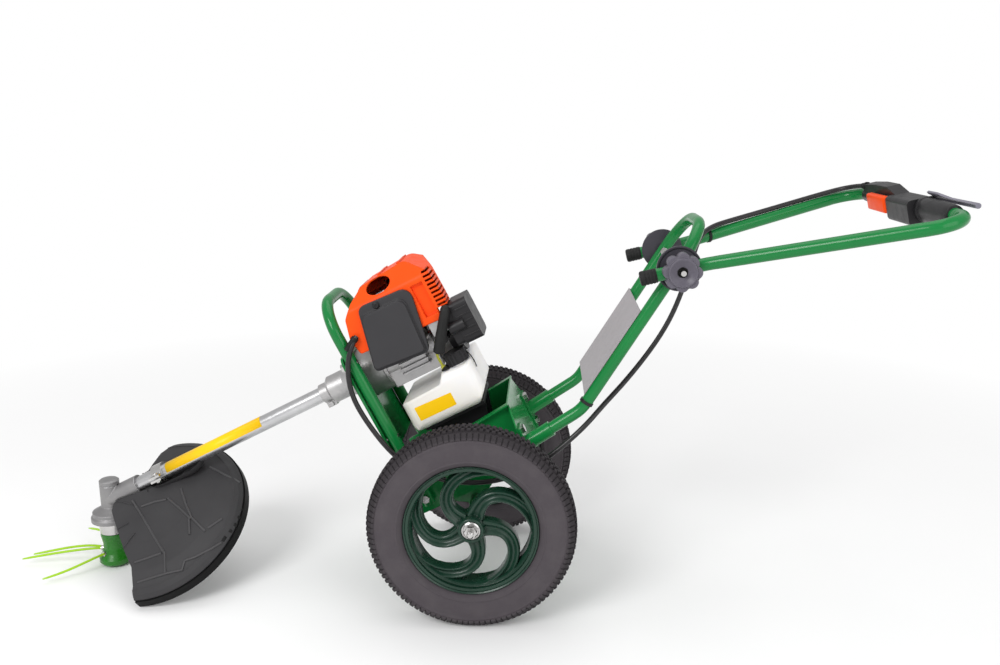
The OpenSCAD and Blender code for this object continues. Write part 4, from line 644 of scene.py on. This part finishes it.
# handlebar
def throttle_cable():
    """One cable from the housing along the arm, across the pivot and along the frame to the engine."""
    bar = [(372, 160, 16), (371, 172, 17), (367, 190, 17), (351, 212, 16), (326, 219, 15), (292, 210, 14.5),
           (240, 191, 14.5), (180, 168, 14.5), (120, 142, 15.5), (92, 124, 16)]
    run = [(372, 108, 577), (362, 98, 548), (344, 70, 498), (320, 40, 446), (284, 0, 402), (236, -46, 356),
           (200, -78, 328), (176, -104, 306), (136, -108, 268), (90, -110, 232), (30, -110, 208),
           (-40, -110, 208), (-96, -108, 226), (-132, -107, 255), (-158, -104.5, 288), (-178, -102.5, 318),
           (-192, -101, 346), (-198, -100, 376), (-197, -99, 408), (-190, -96, 430), (-184, -90, 440)]
    route = [BAR @ Vector(p) for p in bar] + [machine(*p) for p in run]
    cable = cord("throttle_cable", route, 0.0042, 4)
    dress(cable, CABLE_SKIN, None, slot="black_rubber", angle=60)
    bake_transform(cable)
    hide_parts("bar_cable_run", "frame_cable_run")


def grip():
    """A tapered sleeve with a collar at the housing and a palm swell underneath."""
    outline = [(10.1, -166), (12.4, -166), (13.8, -165), (14.4, -162), (15.2, -150), (16.1, -130),
               (16.7, -105), (16.7, -86), (16.2, -73), (15.9, -71), (16.9, -69.6), (17, -68), (17, -63.5),
               (16.4, -62), (10.1, -62), (10.1, -166)]
    axis = place(BAR @ Vector((CROSSBAR, 0, 0)), ARM, (0, 1, 0))
    swell = Matrix.Translation((0, 2.5, 0)) @ Matrix.Diagonal((1, 1.15, 1, 1))
    sheath = spun("grip_sleeve", outline, axis @ swell, 48)
    dress(sheath, BLACK_PLASTIC, "handlebar", "hand_grip", slot="black_rubber")


def switch():
    seat = 27.3
    outline = [(34, -13.5), (113.6, -13.5), (113.6, 13.5), (34, 13.5)]
    face = place(BAR @ Vector((CROSSBAR - seat, 0, 0)), (0, 1, 0), ARM)
    slide = plate("switch_slide", outline, 12, face, 3.6, 4)
    dress(slide, ORANGE_COWL, "stop_switch", "stop_switch", slot="orange_plastic")


def end_plugs():
    """Soft plugs with four ribs on the front ends of the arms."""
    pitch = 5
    arm_end = -58
    outline = [(0, -3), (8, -3), (10.2, -2.2), (11, -0.6)]
    for k in range(4):
        low = k * pitch
        outline += [(11.2, 1 + low), (11.2, 4 + low), (10.6, 4.4 + low), (10.6, 5.6 + low)]
    outline += [(11.1, 21), (10.9, 22), (10.1, 22), (10.1, 0), (0, 0)]
    caps = []
    for way in (-1, 1):
        axis = place(BAR @ Vector((arm_end, way * ARM_OUT, 0)), (0, 1, 0), ARM)
        caps.append(spun("plug", outline, axis, 32))
    dress(joined("arm_plugs", caps), SOFT_BLACK, "handlebar", "end_plugs", slot="black_rubber")


def knobs():
    """A bored ring of eight lobes round a dish, with a black collar at the bolt."""
    points = 96
    lobes = []
    for k in range(points):
        turn = math.tau * k / points
        r = 23.4 + 5.7 * (0.5 + 0.5 * math.cos(8 * turn)) ** 0.32
        lobes.append((r * math.cos(turn), r * math.sin(turn)))
    bore = [(0, -2), (22, -2), (22, 30), (0, 30)]
    dish = [(23, 11), (22.8, 16), (22.2, 19.4), (21, 21.4), (19.6, 21.8), (18.4, 21), (10.6, 15.2), (9, 14.8),
            (8, 14.2), (7.6, 13.2), (7.6, 11), (4.4, 10.6), (4.4, 1), (23, 1), (23, 11)]
    collar = [(4.3, 10.8), (7.4, 10.9), (7.5, 14), (6.9, 14.3), (6.2, 13.6), (5.6, 11.6), (4.3, 11.4),
              (4.3, 10.8)]
    for side, way in SIDES:
        body = "knob_" + side
        seat = place(PIVOT + Vector((0, way * KNOB_OUT * MM, 0)), (1, 0, 0), (0, way, 0))
        ring = hollowed(plate("lobes", lobes, 18, seat, 1.6, 3), spun("bore", bore, seat, 48))
        knob = joined(side + "_knob", [ring, spun("dish", dish, seat, 48)])
        dress(knob, GREY_KNOB, body, body, slot="grey_plastic")
        dress(spun(side + "_knob_collar", collar, seat, 32), SOFT_BLACK, body, slot="black_rubber")


def handlebar_fittings():
    """The boot where the cable leaves its housing, and the tie round the arm."""
    boot = [(0, 0), (7, 0), (7.4, 1), (7.4, 4), (6.2, 5), (6.2, 7), (5.8, 8), (5.8, 10), (5.3, 11), (5.3, 13),
            (4.7, 14), (4.7, 17), (3.5, 18), (0, 18)]
    exit_way = BAR.to_3x3() @ Vector((-3.5, 20, 0.2))
    exit_axis = place(BAR @ Vector((372, 167, 16.6)), (0, 0, 1), exit_way)
    dress(spun("cable_boot", boot, exit_axis, 24), SOFT_BLACK, "handlebar", slot="black_rubber")
    tie = [(10.15, -2.6), (11.5, -2.6), (11.5, 2.6), (10.15, 2.6), (10.15, -2.6)]
    arm_way = BAR.to_3x3() @ Vector((0.937, 0.35, 0))
    arm_axis = place(BAR @ Vector((84, 132.4, 0)), (0, 0, 1), arm_way)
    dress(spun("arm_tie", tie, arm_axis, 32), SOFT_BLACK, "handlebar", slot="black_plastic")


def column_sheet():
    """The plate lies on the front of both tubes, with a lip behind the far one."""
    thick = 1.6
    low, high = 24, 181
    near_edge, far_edge = -91, 99
    front = 9.7
    corners = [(low, near_edge), (high, near_edge), (high, far_edge), (low, far_edge)]
    sheet = pen("column_sheet", [(x, y, front) for x, y in corners])
    raise_face(thick)
    tidy(sheet)
    fold = place((0, far_edge * MM, 0), (1, 0, 0), NEAR_SIDE)
    lip = plate("lip", [(low, -4.7), (high, -4.7), (high, 9.9), (low, 9.9)], thick, fold)
    lip = settle(lip, Matrix.Scale(1 / MM, 4))
    sheet = settle(soften(joined("column_sheet", [sheet, lip]), 0.3, 1), COLUMN)
    dress(sheet, GREY_SHEET, "frame", "column_plate", slot="grey_sheet")


# engine
def tank_fittings():
    """A plain yellow patch, the grommet of the fuel line and the tether of the cap."""
    patch = [(-36.5, -75), (-35.5, -74.2), (27.5, -76.2), (28.5, -77.2), (28.5, -97.5), (27.5, -98.5),
             (-35.5, -98.2), (-36.5, -97.2)]
    dress(plate("tank_patch", patch, 0.4, near(0, -71.7, 0), 0.12), YELLOW_FILM, "frame")
    grommet = [(2.6, 0), (8, 0), (8.4, 1), (7.8, 2.4), (5.4, 3.2), (4.4, 5.4), (2.6, 5.8), (2.6, 0)]
    hole = place(ENGINE @ Vector((38, -59, -42)), SHAFT, ABOVE)
    dress(spun("tank_grommet", grommet, hole, 24), SOFT_BLACK, "frame", slot="black_rubber")
    route = [(77, -52, -28), (82, -54, -34), (85, -56, -48), (83, -58, -60)]
    tether = cord("cap_tether", [ENGINE @ Vector(p) for p in route], 0.0009, 2)
    dress(tether, SOFT_BLACK, "frame", slot="black_rubber", angle=60)


def engine_fittings():
    """The screw of the heat shield and the ferrule at the engine's end of the cable."""
    screw = [(0, 0), (6.2, 0), (6.4, 0.7), (5.2, 1), (4.6, 1.2), (4.6, 2.6), (4.1, 3.6), (2.9, 4.2),
             (2.4, 4.2), (2.2, 2.8), (0, 2.8)]
    shield = near(-5.1, -91.5, 102.85)
    dress(spun("shield_screw", screw, shield, 24), BLACK_PLASTIC, "frame", slot="black_plastic")
    ferrule = [(3.5, 0), (6, 0), (6, 5), (5.2, 6), (5.2, 16), (4.6, 17), (4.6, 24), (3.5, 24.6), (3.5, 0)]
    cable_end = place(machine(-185.5, -91.5, 438), (0, 1, 0), (-0.35, -0.45, -0.82))
    dress(spun("cable_ferrule", ferrule, cable_end, 20), SOFT_BLACK, "frame", slot="black_plastic")


# trimmer end
def guard_ridges():
    ridges = [
        [(-48, 24, 41.4), (-26, 0, 41.6), (-4, -26, 41), (16, -50, 40), (36, -73, 38.2), (42, -79, 37.2),
         (46, -95, 35), (50, -112, 32.2)],
        [(-8, -92, 37.2), (14, -86, 37.4), (36, -79, 37.4)],
        [(4, -125, 31), (28, -119, 32), (53, -113, 32.2), (78, -108, 30.4), (79, -93, 32.4), (96, -87, 31.2),
         (119, -73, 29), (132, -61, 25.4)],
        [(39, 40, 40.6), (57, 8, 40.6), (74, -18, 39.4), (88, -30, 37), (103, -43, 34.2)],
        [(20, 22, 41.6), (49, 0, 41), (73, -20, 39.4)],
        [(-26, 10, 41.8), (-3, 17, 42), (18, 20, 41.8)],
        [(70, -20, 39.6), (74, -34, 38.6), (78, -48, 37.2)],
        [(78, 83, 34.2), (94, 75, 33), (110, 66, 31), (124, 60, 27.6), (137, 53, 23)],
        [(106, -38, 34.2), (126, -20, 31.2)]]
    beads = [cord("ridge", [GUARD @ Vector(p) for p in line], 0.002, 3, kind="POLY") for line in ridges]
    # The beads wear the paler bead material, which paints the highlight on the ridges.
    dress(joined("guard_ridges", beads), PAINTED_HIGHLIGHT_BEAD, "frame", slot="guard_plastic", angle=60)


def painted_slot_shade():
    # The black blocks on the guard are painted shade: they stand in for the shade inside the guard's slots.
    spots = [(135, -54, 24), (142, -39, 22), (147, -27, 20), (149, -13, 19), (149, 3, 17), (147, 19, 15)]
    lengths = [10, 6, 6, 6, 6, 6]
    slots = []
    for (x, y, z), length in zip(spots, lengths):
        tilt = Matrix.Rotation(math.atan2(y, x), 4, "Z") @ turned(58, "Y")
        dark = lump("slot", (6, length, 1.6), Matrix.Identity(4), 0.86, 0.3)
        slots.append(settle(dark, GUARD @ Matrix.Translation((x, y, z)) @ tilt))
    dress(joined("painted_slot_shade", slots), SOFT_BLACK, "frame", slot="black_rubber")


def clamp_bolts():
    head_r = 5
    corners = [math.tau * k / 6 for k in range(6)]
    hexagon = [(head_r * math.cos(turn), head_r * math.sin(turn)) for turn in corners]
    heads = []
    for way in (1, -1):
        seat = place(ENGINE @ Vector((-508, -21, way * 5)), SHAFT, ABOVE * way)
        heads.append(plate("clamp_bolt", hexagon, 4, seat, 0.5))
    dress(joined("clamp_bolts", heads), BRIGHT_STEEL, "frame", slot="bright_steel")


def strands():
    """Four stiff lines that leave the head straight and droop, cut thin at their tips."""
    routes = [
        [(-15, -3, -93), (-26, -5, -93), (-44, -8, -93), (-84, -16, -96), (-124, -20, -102),
         (-150, -22, -107), (-159, -22, -109)],
        [(-15, 4, -96), (-27, 7, -96), (-46, 12, -96), (-86, 14, -101), (-126, 8, -108),
         (-146, 4, -111), (-153, 3, -112)],
        [(-8, -13, -97), (-13, -21, -97), (-20, -32, -97), (-38, -52, -101), (-60, -70, -107),
         (-82, -82, -111), (-89, -86, -112)],
        [(-10, 12, -84), (-17, 20, -84), (-26, 30, -84), (-44, 44, -84), (-64, 60, -88),
         (-84, 78, -96), (-91, 85, -99)]]
    taper = [1, 1, 1, 1, 1, 0.92, 0.55]
    lines = [cord("strand", [HEAD @ Vector(p) for p in route], 0.0021, 3, taper) for route in routes]
    cutting_line = joined("cutting_line", lines)
    dress(cutting_line, LINE_NYLON, "trimmer_head", "line_strands", slot="line_nylon", angle=60)


def sleeve(name, outline, start, turn, steps):
    """An outline of radius and place along the shaft, turned about the tube from an angle off its top."""
    start = math.radians(start)
    axis = place(ENGINE.translation, ABOVE * math.cos(start) + NEAR_SIDE * math.sin(start), SHAFT)
    return spun(name, outline, axis, steps, turn)


def tube_dressing():
    """A plain yellow band along the tube, and the trough that joins the guard to it."""
    film = [(13.02, -492), (13.25, -491.6), (13.25, -300.4), (13.02, -300), (13.02, -492)]
    dress(sleeve("tube_band", film, 97, 167, 28), YELLOW_FILM, "frame", slot="tube_alloy")
    trough = [(13.3, -566), (16, -566), (16.8, -565), (16.8, -530), (22, -522), (25, -512), (25, -452),
              (20, -436), (13.3, -430), (13.3, -566)]
    dress(sleeve("guard_trough", trough, 236, 112, 20), GUARD_PLASTIC, "frame", slot="guard_plastic")


paper_floor()
white_room()
lamps()
camera()
tyres()
rims()
hub_cups()
throttle_cable()
grip()
switch()
end_plugs()
knobs()
handlebar_fittings()
column_sheet()
tank_fittings()
engine_fittings()
guard_ridges()
painted_slot_shade()
clamp_bolts()
strands()
tube_dressing()
bpy.context.scene.view_settings.view_transform = "Standard"
